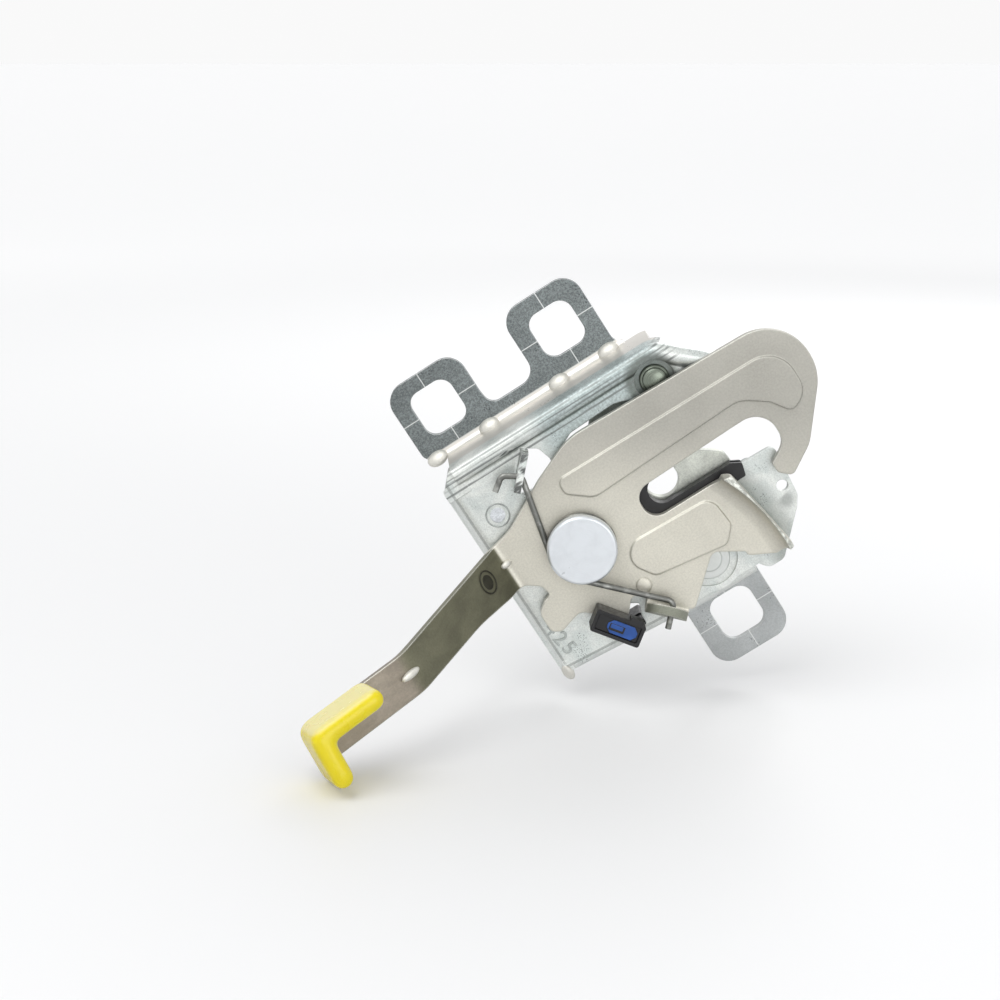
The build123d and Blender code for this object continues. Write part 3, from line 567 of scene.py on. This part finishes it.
def hook_finish():
    """Safety hook: satin plate, paler towards the jaw, painted dark reflection on the lever, painted lighter
    warm grey below the lever's elbow beside the cap, painted shade on the lug and on the ramp's flange.
    """
    colours, _ = choices()
    tree, rim, _ = plate_surface("zinc_hook", metal=0.62, rough=0.42, clouds=60.0, round_off=0.65, worn=0.22)
    along_arm = slope(tree, Vector((-1.5, 0, 1)), 8.0, 72.0)
    body = tree.mix(along_arm, colours.hook_pale, colours.hook)
    body = lever_plate(tree, body, colours)
    # Painted shade on the lug, in its darker tone
    round_lug = near(tree, x=26.7, z=13.65, radius=9.0, soft=2.0)
    lug = all_of(tree, slope(tree, BACK, -4.8, -6.5), round_lug)
    body = tree.mix(lug, body, colours.lug)
    body = ramp_flange(tree, body, colours)
    body = tree.shade(body, tree.ramp(tree.noise(1700.0, rough=0.7), (0.35, 0.65), (0.94, 1.06)))
    body = tree.shade(body, tree.ramp(tree.noise(45.0, warp=0.4), (0.3, 0.7), (0.95, 1.05)))
    return tree.colour_from(tree.mix(rim, body, colours.hook_edge))


def plain_steel(name, base, edge, rough, clouds, metal=0.7, dark=0.75, speckle=0.12):
    """The same plate in one tone and a darker one, for small pieces and the pieces inside."""
    tree, rim, patterns = plate_surface(name, metal, rough, clouds)
    body = plate_tones(tree, patterns, base, scaled(base, dark), speckle)
    return tree.colour_from(tree.mix(rim, body, edge))


def turned_finish(name, base, rough, centre):
    """Rivet faces: turned rings round the axis, small dents and a soft rolled edge."""
    tree = Tree(name)
    tree.shader.inputs["Metallic"].default_value = 0.7
    soft, rim = tree.edge(0.5 * MM, (0.01, 0.25))
    rings = tree.add("ShaderNodeTexNoise", {"Scale": 1500.0, "Detail": 3.0}, noise_dimensions="1D")
    tree.link(off_axis(tree, centre), "Value", rings, "W")
    pits = tree.ramp(tree.noise(420.0, detail=2.0), (0.70, 0.76))
    clouds = tree.ramp(tree.noise(160.0, detail=4.0, rough=0.6, warp=0.5), (0.35, 0.65), (0.0, 0.6))
    body = tree.mix(clouds, base, scaled(base, 0.88))
    body = tree.veil(body, pits, 0.6, scaled(base, 0.6))
    tree.gloss_from(tree.ramp(rings, (0.3, 0.7), (rough - 0.05, rough + 0.08)))
    tree.bump(tree.math("SUBTRACT", tree.math("MULTIPLY", rings, 0.5), pits), 0.04 * MM, soft)
    return tree.colour_from(tree.mix(rim, body, scaled(base, 1.1)))


def wire_finish():
    """Spring wire: dark oiled steel with fine grain and rubbed spots."""
    colours, _ = choices()
    tree = Tree("spring_steel")
    tree.shader.inputs["Metallic"].default_value = 0.8
    tree.gloss_from(tree.ramp(tree.noise(700.0, detail=2.0), (0.3, 0.7), (0.28, 0.46)))
    tree.bump(tree.noise(2600.0, detail=2.0), 0.02 * MM)
    rubbed = tree.ramp(tree.noise(240.0, detail=4.0, rough=0.6), (0.45, 0.7))
    return tree.colour_from(tree.mix(rubbed, scaled(colours.wire, 0.75), scaled(colours.wire, 1.7)))


def moulded(name, base, rough, light):
    """Moulded plastic: fine spark-eroded grain, slightly paler rubbed edges."""
    tree = Tree(name)
    tree.shader.inputs["Specular IOR Level"].default_value = 0.5
    soft, rim = tree.edge(0.25 * MM, (0.02, 0.4))
    fine = tree.noise(900.0, detail=2.0)
    tree.gloss_from(tree.ramp(fine, (0.3, 0.7), (rough - 0.06, rough + 0.08)))
    tree.bump(fine, 0.03 * MM, soft)
    patch = tree.ramp(tree.noise(210.0), (0.35, 0.65))
    body = tree.mix(patch, base, scaled(base, 1.35, lift=0.002))
    return tree.colour_from(tree.mix(rim, body, scaled(base, light, lift=0.01)))


def cap_finish():
    """Dipped yellow cap: deeper colour in thick patches and towards the lower end, a broad side painted pale
    as a sheen, soft gloss, faint ripples.
    """
    colours, _ = choices()
    tree = Tree("yellow_plastic")
    tree.shader.inputs["Subsurface Weight"].default_value = 0.12
    tree.shader.inputs["Subsurface Radius"].default_value = (0.0020, 0.0012, 0.0002)
    tree.shader.inputs["Subsurface Scale"].default_value = 1.0
    flow = tree.noise(120.0, warp=0.7)
    tree.gloss_from(tree.ramp(flow, (0.3, 0.7), (0.24, 0.28)))
    tree.bump(tree.noise(260.0, detail=2.0, rough=0.4, warp=0.3), 0.01 * MM, strength=0.3)
    thick = tree.math("MULTIPLY", tree.ramp(flow, (0.35, 0.68)), 0.12)
    low_end = tree.math("MULTIPLY", slope(tree, UP, -74.15, -85.15), 0.5)
    body = tree.mix(tree.math("ADD", thick, low_end), colours.cap, colours.cap_deep)
    # Painted sheen: the broad side is veiled in pale cream
    broad_side = (box_of("lever_cap")[0].x - PIVOT.x) / MM
    pale = slope(tree, RIGHT, broad_side + 1.1, broad_side + 0.3)
    body = tree.veil(body, pale, 0.62, colours.cap_painted_sheen)
    speck = tree.ramp(tree.noise(900.0, detail=2.0), (0.66, 0.74), (0.0, 0.05))
    return tree.colour_from(tree.mix(speck, body, scaled(colours.cap_deep, 0.75)))


FINISHED = {}


def finish(name):
    """The finish with a name, made once."""
    colours, _ = choices()
    dull = colours.zinc_dull_and_shade
    bare = colours.bare_edge_and_highlight
    steels = {
        "zinc_back": dict(base=dull, edge=bare, rough=0.38, clouds=110.0),
        "claw_steel": dict(base=colours.claw, edge=bare, rough=0.38, clouds=140.0, metal=0.8),
        "washer_steel": dict(base=colours.claw, edge=bare, rough=0.42, clouds=200.0),
        "contact_brass": dict(base=colours.brass, edge=colours.brass, rough=0.30, clouds=260.0, metal=0.9),
        "stamped": dict(base=scaled(dull, 0.72), edge=colours.zinc, rough=0.34, clouds=300.0),
        "stamped_disc": dict(base=colours.rivet, edge=dull, rough=0.32, clouds=300.0),
        "digit": dict(base=scaled(dull, 0.84), edge=colours.zinc, rough=0.34, clouds=300.0, dark=0.9),
        "lever_mark": dict(base=colours.mark, edge=colours.lever, rough=0.44, clouds=300.0, metal=0.6),
        # Darts, the corner knuckle and the lever's darts: their bright tone is a painted highlight
        "dart": dict(
            base=colours.dart, edge=colours.dart, rough=0.40, clouds=120.0,
            metal=0.5, dark=0.93, speckle=0.03,
        ),
    }
    turned = {
        "bright_rivet": (colours.rivet, 0.34, "hook_rivet"),
        "pin_steel": (colours.pin, 0.34, "claw_rivet"),
        "pawl_pin": (colours.pawl_pin, 0.26, "pawl_rivet"),
    }
    plastics = {
        "black_plastic": (colours.black, 0.42, 2.6),
        "blue_plastic": (colours.blue, 0.34, 1.5),
        "plunger_plastic": (colours.plunger, 0.40, 1.1),
    }
    makers = {
        "zinc_sheet": housing_finish,
        "zinc_hook": hook_finish,
        "spring_steel": wire_finish,
        "yellow_plastic": cap_finish,
    }
    if name not in FINISHED:
        if name in steels:
            FINISHED[name] = plain_steel(name, **steels[name])
        elif name in turned:
            base, rough, rivet = turned[name]
            FINISHED[name] = turned_finish(name, base, rough, axis_of(rivet))
        elif name in plastics:
            FINISHED[name] = moulded(name, *plastics[name])
        else:
            FINISHED[name] = makers[name]()
    return FINISHED[name]


# Mesh work, always as by hand: a primitive, shaped in edit mode, finished with applied modifiers

def clear_selection():
    """Object mode with nothing selected."""
    if bpy.context.object is not None and bpy.context.object.mode != "OBJECT":
        bpy.ops.object.mode_set(mode="OBJECT")
    bpy.ops.object.select_all(action="DESELECT")


def pick(piece):
    """Selects one piece alone and makes it active."""
    clear_selection()
    piece.select_set(True)
    bpy.context.view_layer.objects.active = piece


def edit_all():
    """Edit mode with the whole of the active piece selected."""
    bpy.ops.object.mode_set(mode="EDIT")
    bpy.ops.mesh.select_all(action="SELECT")


def draw_out(rise):
    """In edit mode, extrudes all faces along z, turns every face outwards and leaves edit mode."""
    bpy.ops.mesh.select_all(action="SELECT")
    bpy.ops.mesh.extrude_region_move(TRANSFORM_OT_translate={"value": (0, 0, rise)})
    bpy.ops.mesh.select_all(action="SELECT")
    bpy.ops.mesh.normals_make_consistent(inside=False)
    bpy.ops.object.mode_set(mode="OBJECT")


def round_edges(piece, width):
    """Bevels a piece's edges by a width in millimetres; settle applies it."""
    rounded = piece.modifiers.new("rounded", "BEVEL")
    rounded.width = width * MM
    rounded.segments = 2


def facing(normal, up=UP):
    """Rotation whose z looks along a normal and whose y leans towards up."""
    z = normal.normalized()
    x = up.cross(z).normalized()
    y = z.cross(x)
    return Matrix((x, y, z)).transposed()


def lay(piece, point, normal, up=UP):
    """Puts a piece drawn on the xy plane onto a surface."""
    piece.matrix_world = Matrix.Translation(point) @ facing(normal, up).to_4x4()


def settle(piece, name, slot, body, angle=35.0, look=None):
    """Names a piece, applies its place, shades it, gives it its finish and lets it ride on a body."""
    if bpy.context.mode != "OBJECT":
        bpy.ops.object.mode_set(mode="OBJECT")
    pick(piece)
    piece.name = name
    piece.data.name = name
    bpy.ops.object.transform_apply(location=True, rotation=True, scale=True)
    bpy.ops.object.shade_smooth_by_angle(angle=math.radians(angle))
    for modifier in list(piece.modifiers):
        bpy.ops.object.modifier_apply(modifier=modifier.name)
    piece.data.materials.clear()
    piece.data.materials.append(finish(look or slot))
    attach(piece, body)
    return piece


def swelling(radii, segments=36, rings=20, cut=None):
    """Ellipsoid with radii in metres; a cut removes what lies below that share of its last radius."""
    clear_selection()
    bpy.ops.mesh.primitive_uv_sphere_add(segments=segments, ring_count=rings, radius=1.0)
    piece = bpy.context.object
    piece.scale = radii
    bpy.ops.object.transform_apply(location=False, rotation=False, scale=True)
    if cut is not None:
        edit_all()
        bpy.ops.mesh.bisect(plane_co=(0, 0, cut * radii[2]), plane_no=UP, clear_inner=True, use_fill=True)
        bpy.ops.object.mode_set(mode="OBJECT")
    return piece


def bulge(name, point, radii, normal, slot, body, look):
    """Rounded swelling pressed out of the sheet: radii across, along and out of the surface, in metres."""
    piece = swelling(radii, cut=-0.35)
    lay(piece, point, normal)
    return settle(piece, name, slot, body, 60.0, look)


class LATCH_OT_node_finishes(bpy.types.Operator):
    """Give every node of the frame its finish, by the slot it has in the record"""

    bl_idname = "latch.node_finishes"
    bl_label = "Node finishes"

    def execute(self, context):
        for part in frame["record"]["subparts"]:
            piece = frame["nodes"][part["node"]]
            look = "pawl_pin" if part["node"] == "pawl_rivet" else part["material_slot"]
            for slot in piece.material_slots:
                slot.material = finish(look)
        return {"FINISHED"}


class LATCH_OT_bend_darts(bpy.types.Operator):
    """Stiffening darts pressed across the bend between the housing's wall and its left ears"""

    bl_idname = "latch.bend_darts"
    bl_label = "Bend darts"

    def execute(self, context):
        _, sizes = choices()
        heights = (-23.4, -5.4, 18.8, 35.8)
        outward = Vector((-0.72, -0.69, 0))
        radii = (sizes.dart_width / 2, sizes.dart_length / 2, sizes.dart_width * 0.30)
        for number, height in enumerate(heights, 1):
            place = at_pivot(-40.9, 14.4, height)
            bulge(f"bend_dart_{number}", place, radii, outward, "zinc_sheet", "base", "dart")
        return {"FINISHED"}


class LATCH_OT_corner_knuckle(bpy.types.Operator):
    """Rounded knuckle where the rolled bottom edge meets the right lip"""

    bl_idname = "latch.corner_knuckle"
    bl_label = "Corner knuckle"

    def execute(self, context):
        place = at_pivot(31.7, 0.9, -24.4)
        radii = Vector((2.7, 1.7, 1.2)) * MM
        outward = Vector((0.2, -0.9, -0.4))
        bulge("corner_knuckle", place, radii, outward, "zinc_sheet", "base", "dart")
        return {"FINISHED"}


class LATCH_OT_pawl_rivet_dome(bpy.types.Operator):
    """Domed top of the pawl's rivet in its dish"""

    bl_idname = "latch.pawl_rivet_dome"
    bl_label = "Pawl rivet dome"

    def execute(self, context):
        head_depth = 0.62
        place = axis_of("pawl_rivet") + BACK * head_depth * MM
        radii = Vector((3.6, 3.6, 1.2)) * MM
        bulge("pawl_rivet_dome", place, radii, FRONT, "pin_steel", "base", "pawl_pin")
        return {"FINISHED"}


class LATCH_OT_stamped_rings(bpy.types.Operator):
    """Round bare stamping marks on the lever and on the panel"""

    bl_idname = "latch.stamped_rings"
    bl_label = "Stamped rings"

    def execute(self, context):
        on_lever = at_pivot(-7.3, -12.9, -27.3)
        on_panel = at_pivot(-19.7, 0, -16.0)
        self.mark("lever_ring", on_lever, LEVER_NORMAL, "zinc_hook", "hook", "lever_mark", "lever_mark")
        self.mark("panel_ring", on_panel, FRONT, "zinc_sheet", "base", "stamped", "stamped_disc")
        return {"FINISHED"}

    def mark(self, name, point, normal, slot, body, line, field):
        """One raised ring, and the smaller disc inside it."""
        _, sizes = choices()
        line_width = 0.45 * MM
        sunk = 0.06 * MM
        field_share = 0.62
        field_sunk = 0.2
        clear_selection()
        bpy.ops.mesh.primitive_circle_add(vertices=48, radius=sizes.mark_radius, fill_type="NGON")
        ring = bpy.context.object
        edit_all()
        bpy.ops.mesh.inset(thickness=line_width, depth=0)
        bpy.ops.mesh.delete(type="FACE")
        draw_out(sizes.digit_rise)
        lay(ring, point - normal * sunk, normal)
        round_edges(ring, 0.12)
        settle(ring, name, slot, body, look=line)
        clear_selection()
        bpy.ops.mesh.primitive_cylinder_add(
            vertices=48, radius=sizes.mark_radius * field_share, depth=sizes.digit_rise
        )
        disc = bpy.context.object
        lay(disc, point - normal * sizes.digit_rise * field_sunk, normal)
        round_edges(disc, 0.09)
        settle(disc, name + "_disc", slot, body, look=field)


class LATCH_OT_connector_face(bpy.types.Operator):
    """Face of the connector: a black plate in the shroud's mouth with the blue insert standing in it"""

    bl_idname = "latch.connector_face"
    bl_label = "Connector face"

    def execute(self, context):
        turn = math.radians(36)
        along = Vector((math.cos(turn), 0, math.sin(turn)))
        over = Vector((-math.sin(turn), 0, math.cos(turn)))
        middle = at_pivot(24.7, -11.3, -3.6)
        # Millimetres: corner chamfer, shift along and over, half length and half height, rise
        for name, chamfer, shift, half, rise, slot in (
            ("connector_plate", 0.3, (0.0, 0.0), (6.45, 2.35), 0.25, "black_plastic"),
            ("connector_key", 1.35, (1.3, -0.05), (4.5, 2.0), 0.60, "blue_plastic"),
            ("connector_slot", 0.1, (-0.3, -0.1), (2.3, 1.05), 0.66, "black_plastic"),
            ("connector_latch", 0.1, (-0.4, 0.2), (1.85, 0.62), 0.74, "blue_plastic"),
        ):
            clear_selection()
            bpy.ops.mesh.primitive_plane_add(size=2.0)
            piece = context.object
            piece.scale = (half[0] * MM, half[1] * MM, 1.0)
            bpy.ops.object.transform_apply(location=False, rotation=False, scale=True)
            edit_all()
            bpy.ops.mesh.bevel(offset=chamfer * MM, segments=1, affect="VERTICES")
            draw_out(rise * MM)
            lay(piece, middle + (along * shift[0] + over * shift[1]) * MM, FRONT, over)
            round_edges(piece, 0.12)
            settle(piece, name, slot, "base")
        return {"FINISHED"}


class LATCH_OT_digits(bpy.types.Operator):
    """Plain embossed digits near the panel's lower edge"""

    bl_idname = "latch.digits"
    bl_label = "Embossed digits"

    def execute(self, context):
        _, sizes = choices()
        font_size_to_height = 1.36
        clear_selection()
        bpy.ops.object.text_add()
        piece = context.object
        piece.data.body = sizes.digits
        piece.data.size = sizes.digit_height * font_size_to_height
        piece.data.space_character = 1.25
        piece.data.extrude = sizes.digit_rise
        piece.data.bevel_depth = 0.09 * MM
        piece.data.bevel_resolution = 1
        piece.data.offset = -0.04 * MM
        piece.data.resolution_u = 4
        pick(piece)
        bpy.ops.object.convert(target="MESH")
        piece = context.object
        leaning_up = Vector((-0.17, 0, 0.985))
        lay(piece, at_pivot(16.4, 0.05, -23.6), FRONT, leaning_up)
        settle(piece, "embossed_digits", "zinc_sheet", "base", 30.0, "digit")
        return {"FINISHED"}


class LATCH_OT_hook_dimple(bpy.types.Operator):
    """Small round dimple pressed in the safety hook beside the lug"""

    bl_idname = "latch.hook_dimple"
    bl_label = "Hook dimple"

    def execute(self, context):
        _, sizes = choices()
        radius = sizes.dimple_radius
        piece = swelling((radius, radius, radius * 0.28), rings=18, cut=0.0)
        lay(piece, at_pivot(19.9, -4.19, 8.8), FRONT)
        settle(piece, "hook_dimple", "zinc_hook", "hook", 50.0)
        return {"FINISHED"}


class LATCH_OT_lever_dart(bpy.types.Operator):
    """Darts pressed across the lever's elbow and across the fold at its root"""

    bl_idname = "latch.lever_dart"
    bl_label = "Lever darts"

    def execute(self, context):
        between_flats = (LEVER_NORMAL + GRIP_NORMAL).normalized()
        along_lever = Vector((0, 0.6, 1))
        piece = swelling(Vector((1.1, 3.2, 1.4)) * MM, segments=32, rings=16)
        lay(piece, at_pivot(-6.2, -53.0, -52.3), between_flats, along_lever)
        settle(piece, "lever_dart", "zinc_hook", "hook", 50.0, "dart")
        root = at_pivot(-7.1, -4.9, -21.2)
        out_of_fold = Vector((0, -0.84, 0.54))
        bulge("root_dart", root, Vector((1.0, 1.9, 1.1)) * MM, out_of_fold, "zinc_hook", "hook", "dart")
        return {"FINISHED"}


class LATCH_OT_soft_cap(bpy.types.Operator):
    """The lever's cap as it leaves the dip: the solid cap, rounded all over"""

    bl_idname = "latch.soft_cap"
    bl_label = "Soft cap"

    def execute(self, context):
        solid = frame["nodes"]["lever_cap"]
        pick(solid)
        bpy.ops.object.duplicate()
        piece = context.object
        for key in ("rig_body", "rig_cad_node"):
            if key in piece:
                del piece[key]
        piece.parent = None
        pick(piece)
        edit_all()
        bpy.ops.mesh.remove_doubles(threshold=0.01 * MM)
        bpy.ops.object.mode_set(mode="OBJECT")
        even = piece.modifiers.new("even", "REMESH")
        even.mode = "VOXEL"
        even.voxel_size = 0.32 * MM
        soft = piece.modifiers.new("soft", "SMOOTH")
        soft.factor = 0.5
        soft.iterations = 90
        full = piece.modifiers.new("full", "DISPLACE")
        full.strength = 0.15 * MM
        full.mid_level = 0.0
        settle(piece, "soft_cap", "yellow_plastic", "hook", 80.0)
        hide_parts("lever_cap")
        return {"FINISHED"}


# The studio stands the part on its cap and right ear. Roll turns it there, and tilt is the view from above.
ROLL = math.radians(57.2)
TILT = math.radians(13.0)
STAGE_RIGHT = Vector((math.cos(ROLL), 0.0, math.sin(ROLL)))
STAGE_UP = Vector((-math.sin(ROLL), 0.0, math.cos(ROLL)))

# Metres in the row frame: the point that the lamps look at, and the camera
STAGE_MIDDLE = Vector((0.045, -0.03, 0.0))
CAMERA_PLACE = Vector((-0.0883, -0.5794, 0.05145))
FIELD_OF_VIEW = 28.07

# Glow of the floor for the camera: the distance from the middle over which it grows, and its strengths
NEAR_GLOW = ((0.0, 0.95), (0.085, 0.30))
FAR_GLOW = ((0.75, 1.4), (0.0, 0.125))


class LATCH_OT_studio(bpy.types.Operator):
    """Pale studio: floor, soft lamps, world and the camera at the product view"""

    bl_idname = "latch.studio"
    bl_label = "Studio"

    def execute(self, context):
        self.floor()
        self.lamps()
        self.world()
        self.camera()
        return {"FINISHED"}

    def floor(self):
        """Floor under the cap, the housing's corner and the right ear, seen from above only."""
        gap = 0.2 * MM
        clear_selection()
        bpy.ops.mesh.primitive_grid_add(x_subdivisions=4, y_subdivisions=4, size=30.0)
        piece = bpy.context.object
        lowest = min(
            STAGE_UP.dot(vertex.co) for node in frame["nodes"].values() for vertex in node.data.vertices
        )
        under_part = STAGE_MIDDLE - STAGE_UP * STAGE_UP.dot(STAGE_MIDDLE)
        lay(piece, under_part + STAGE_UP * (lowest - gap), STAGE_UP)
        pick(piece)
        piece.name = "floor"
        bpy.ops.object.transform_apply(location=True, rotation=True, scale=True)
        piece.data.materials.append(self.floor_finish())

    def floor_finish(self):
        """Pale floor that glows a little for the camera and is clear from below."""
        colours, _ = choices()
        tree = Tree("studio_floor")
        tree.shader.inputs["Roughness"].default_value = 0.55
        tree.shader.inputs["Emission Color"].default_value = (1.0, 1.0, 1.0, 1.0)
        haze = tree.ramp(tree.noise(2.0, detail=2.0), (0.3, 0.7), (0.0, 0.15))
        tree.colour_from(tree.mix(haze, colours.floor, scaled(colours.floor, 0.97)))
        away = tree.add("ShaderNodeVectorMath", {1: tuple(STAGE_MIDDLE)}, operation="DISTANCE")
        tree.link(tree.place, "Object", away, 0)
        glow = tree.math("ADD", tree.ramp(away, *NEAR_GLOW, "Value"), tree.ramp(away, *FAR_GLOW, "Value"))
        camera_ray = tree.add("ShaderNodeLightPath")
        tree.link(tree.math("MULTIPLY", glow, camera_ray), 0, tree.shader, "Emission Strength")
        clear = tree.add("ShaderNodeBsdfTransparent")
        either = tree.add("ShaderNodeMixShader")
        tree.link(tree.add("ShaderNodeNewGeometry"), "Backfacing", either, 0)
        tree.link(tree.shader, 0, either, 1)
        tree.link(clear, 0, either, 2)
        tree.link(either, 0, tree.out, "Surface")
        return tree.material

    def lamps(self):
        """A large soft key from above, a fill by the camera and a lamp from behind."""
        # Metres and watts: place along STAGE_UP, FRONT and STAGE_RIGHT, then diameter and power
        for name, high, forward, right, size, power in (
            ("key", 0.75, 0.35, -0.35, 0.8, 4.2),
            ("fill", 0.1, 0.9, 0.35, 0.7, 2.4),
            ("back", 0.5, -0.7, 0.3, 0.6, 2.0),
        ):
            lamp = bpy.data.lights.new(name, "AREA")
            lamp.shape = "DISK"
            lamp.size = size
            lamp.energy = power
            holder = bpy.data.objects.new(name, lamp)
            bpy.context.scene.collection.objects.link(holder)
            holder.location = STAGE_MIDDLE + STAGE_UP * high + FRONT * forward + STAGE_RIGHT * right
            holder.rotation_euler = (STAGE_MIDDLE - holder.location).to_track_quat("-Z", "Y").to_euler()

    def world(self):
        """White to the eye and in reflections, softer as light."""
        seen_tone = (0.95, 0.95, 0.95, 1.0)
        light_tone = (0.97, 0.98, 1.0, 1.0)
        made = bpy.data.worlds.new("studio")
        made.use_nodes = True
        nodes, links = made.node_tree.nodes, made.node_tree.links
        nodes.clear()
        out = nodes.new("ShaderNodeOutputWorld")
        choice = nodes.new("ShaderNodeMixShader")
        for socket, tone, strength in ((1, light_tone, 0.56), (2, seen_tone, 1.0)):
            sky = nodes.new("ShaderNodeBackground")
            sky.inputs["Color"].default_value = tone
            sky.inputs["Strength"].default_value = strength
            links.new(sky.outputs[0], choice.inputs[socket])
        rays = nodes.new("ShaderNodeLightPath")
        seen = rays.outputs["Is Camera Ray"]
        for kind in ("Is Glossy Ray", "Is Transmission Ray"):
            either = nodes.new("ShaderNodeMath")
            either.operation = "MAXIMUM"
            links.new(seen, either.inputs[0])
            links.new(rays.outputs[kind], either.inputs[1])
            seen = either.outputs[0]
        links.new(seen, choice.inputs[0])
        links.new(choice.outputs[0], out.inputs["Surface"])
        bpy.context.scene.world = made

    def camera(self):
        """Looks down on the hook, rolled so that the part stands on its cap and right ear."""
        data = bpy.data.cameras.new("view")
        data.angle = math.radians(FIELD_OF_VIEW)
        data.clip_start = 0.01
        data.clip_end = 60.0
        holder = bpy.data.objects.new("view", data)
        bpy.context.scene.collection.objects.link(holder)
        up = STAGE_UP * math.cos(TILT) + BACK * math.sin(TILT)
        turn = Matrix((STAGE_RIGHT, up, STAGE_RIGHT.cross(up))).transposed()
        holder.matrix_world = Matrix.Translation(CAMERA_PLACE) @ turn.to_4x4()
        bpy.context.scene.camera = holder
        bpy.context.scene.view_settings.view_transform = "Standard"


class LATCH_PT_panel(bpy.types.Panel):
    """Sizes, colours and pieces of the bonnet latch"""

    bl_idname = "LATCH_PT_panel"
    bl_label = "Bonnet latch"
    bl_space_type = "VIEW_3D"
    bl_region_type = "UI"
    bl_category = "Bonnet latch"

    def draw(self, context):
        layout = self.layout
        for group in (context.scene.latch_sizes, context.scene.latch_colours):
            box = layout.box()
            for key in group.__annotations__:
                box.prop(group, key)
        for made in OPERATORS:
            layout.operator(made.bl_idname)


OPERATORS = (
    LATCH_OT_node_finishes,
    LATCH_OT_bend_darts,
    LATCH_OT_corner_knuckle,
    LATCH_OT_pawl_rivet_dome,
    LATCH_OT_stamped_rings,
    LATCH_OT_connector_face,
    LATCH_OT_digits,
    LATCH_OT_hook_dimple,
    LATCH_OT_lever_dart,
    LATCH_OT_soft_cap,
    LATCH_OT_studio,
)
CLASSES = (LatchColours, LatchSizes, *OPERATORS, LATCH_PT_panel)


def register():
    """Adds the classes and the scene's settings."""
    for made in CLASSES:
        bpy.utils.register_class(made)
    bpy.types.Scene.latch_colours = PointerProperty(type=LatchColours)
    bpy.types.Scene.latch_sizes = PointerProperty(type=LatchSizes)


def unregister():
    """Takes the settings and the classes away again."""
    del bpy.types.Scene.latch_sizes
    del bpy.types.Scene.latch_colours
    for made in reversed(CLASSES):
        bpy.utils.unregister_class(made)


def main():
    """Builds everything in order."""
    register()
    for made in OPERATORS:
        group, name = made.bl_idname.split(".")
        getattr(getattr(bpy.ops, group), name)()


if __name__ == "__main__":
    main()
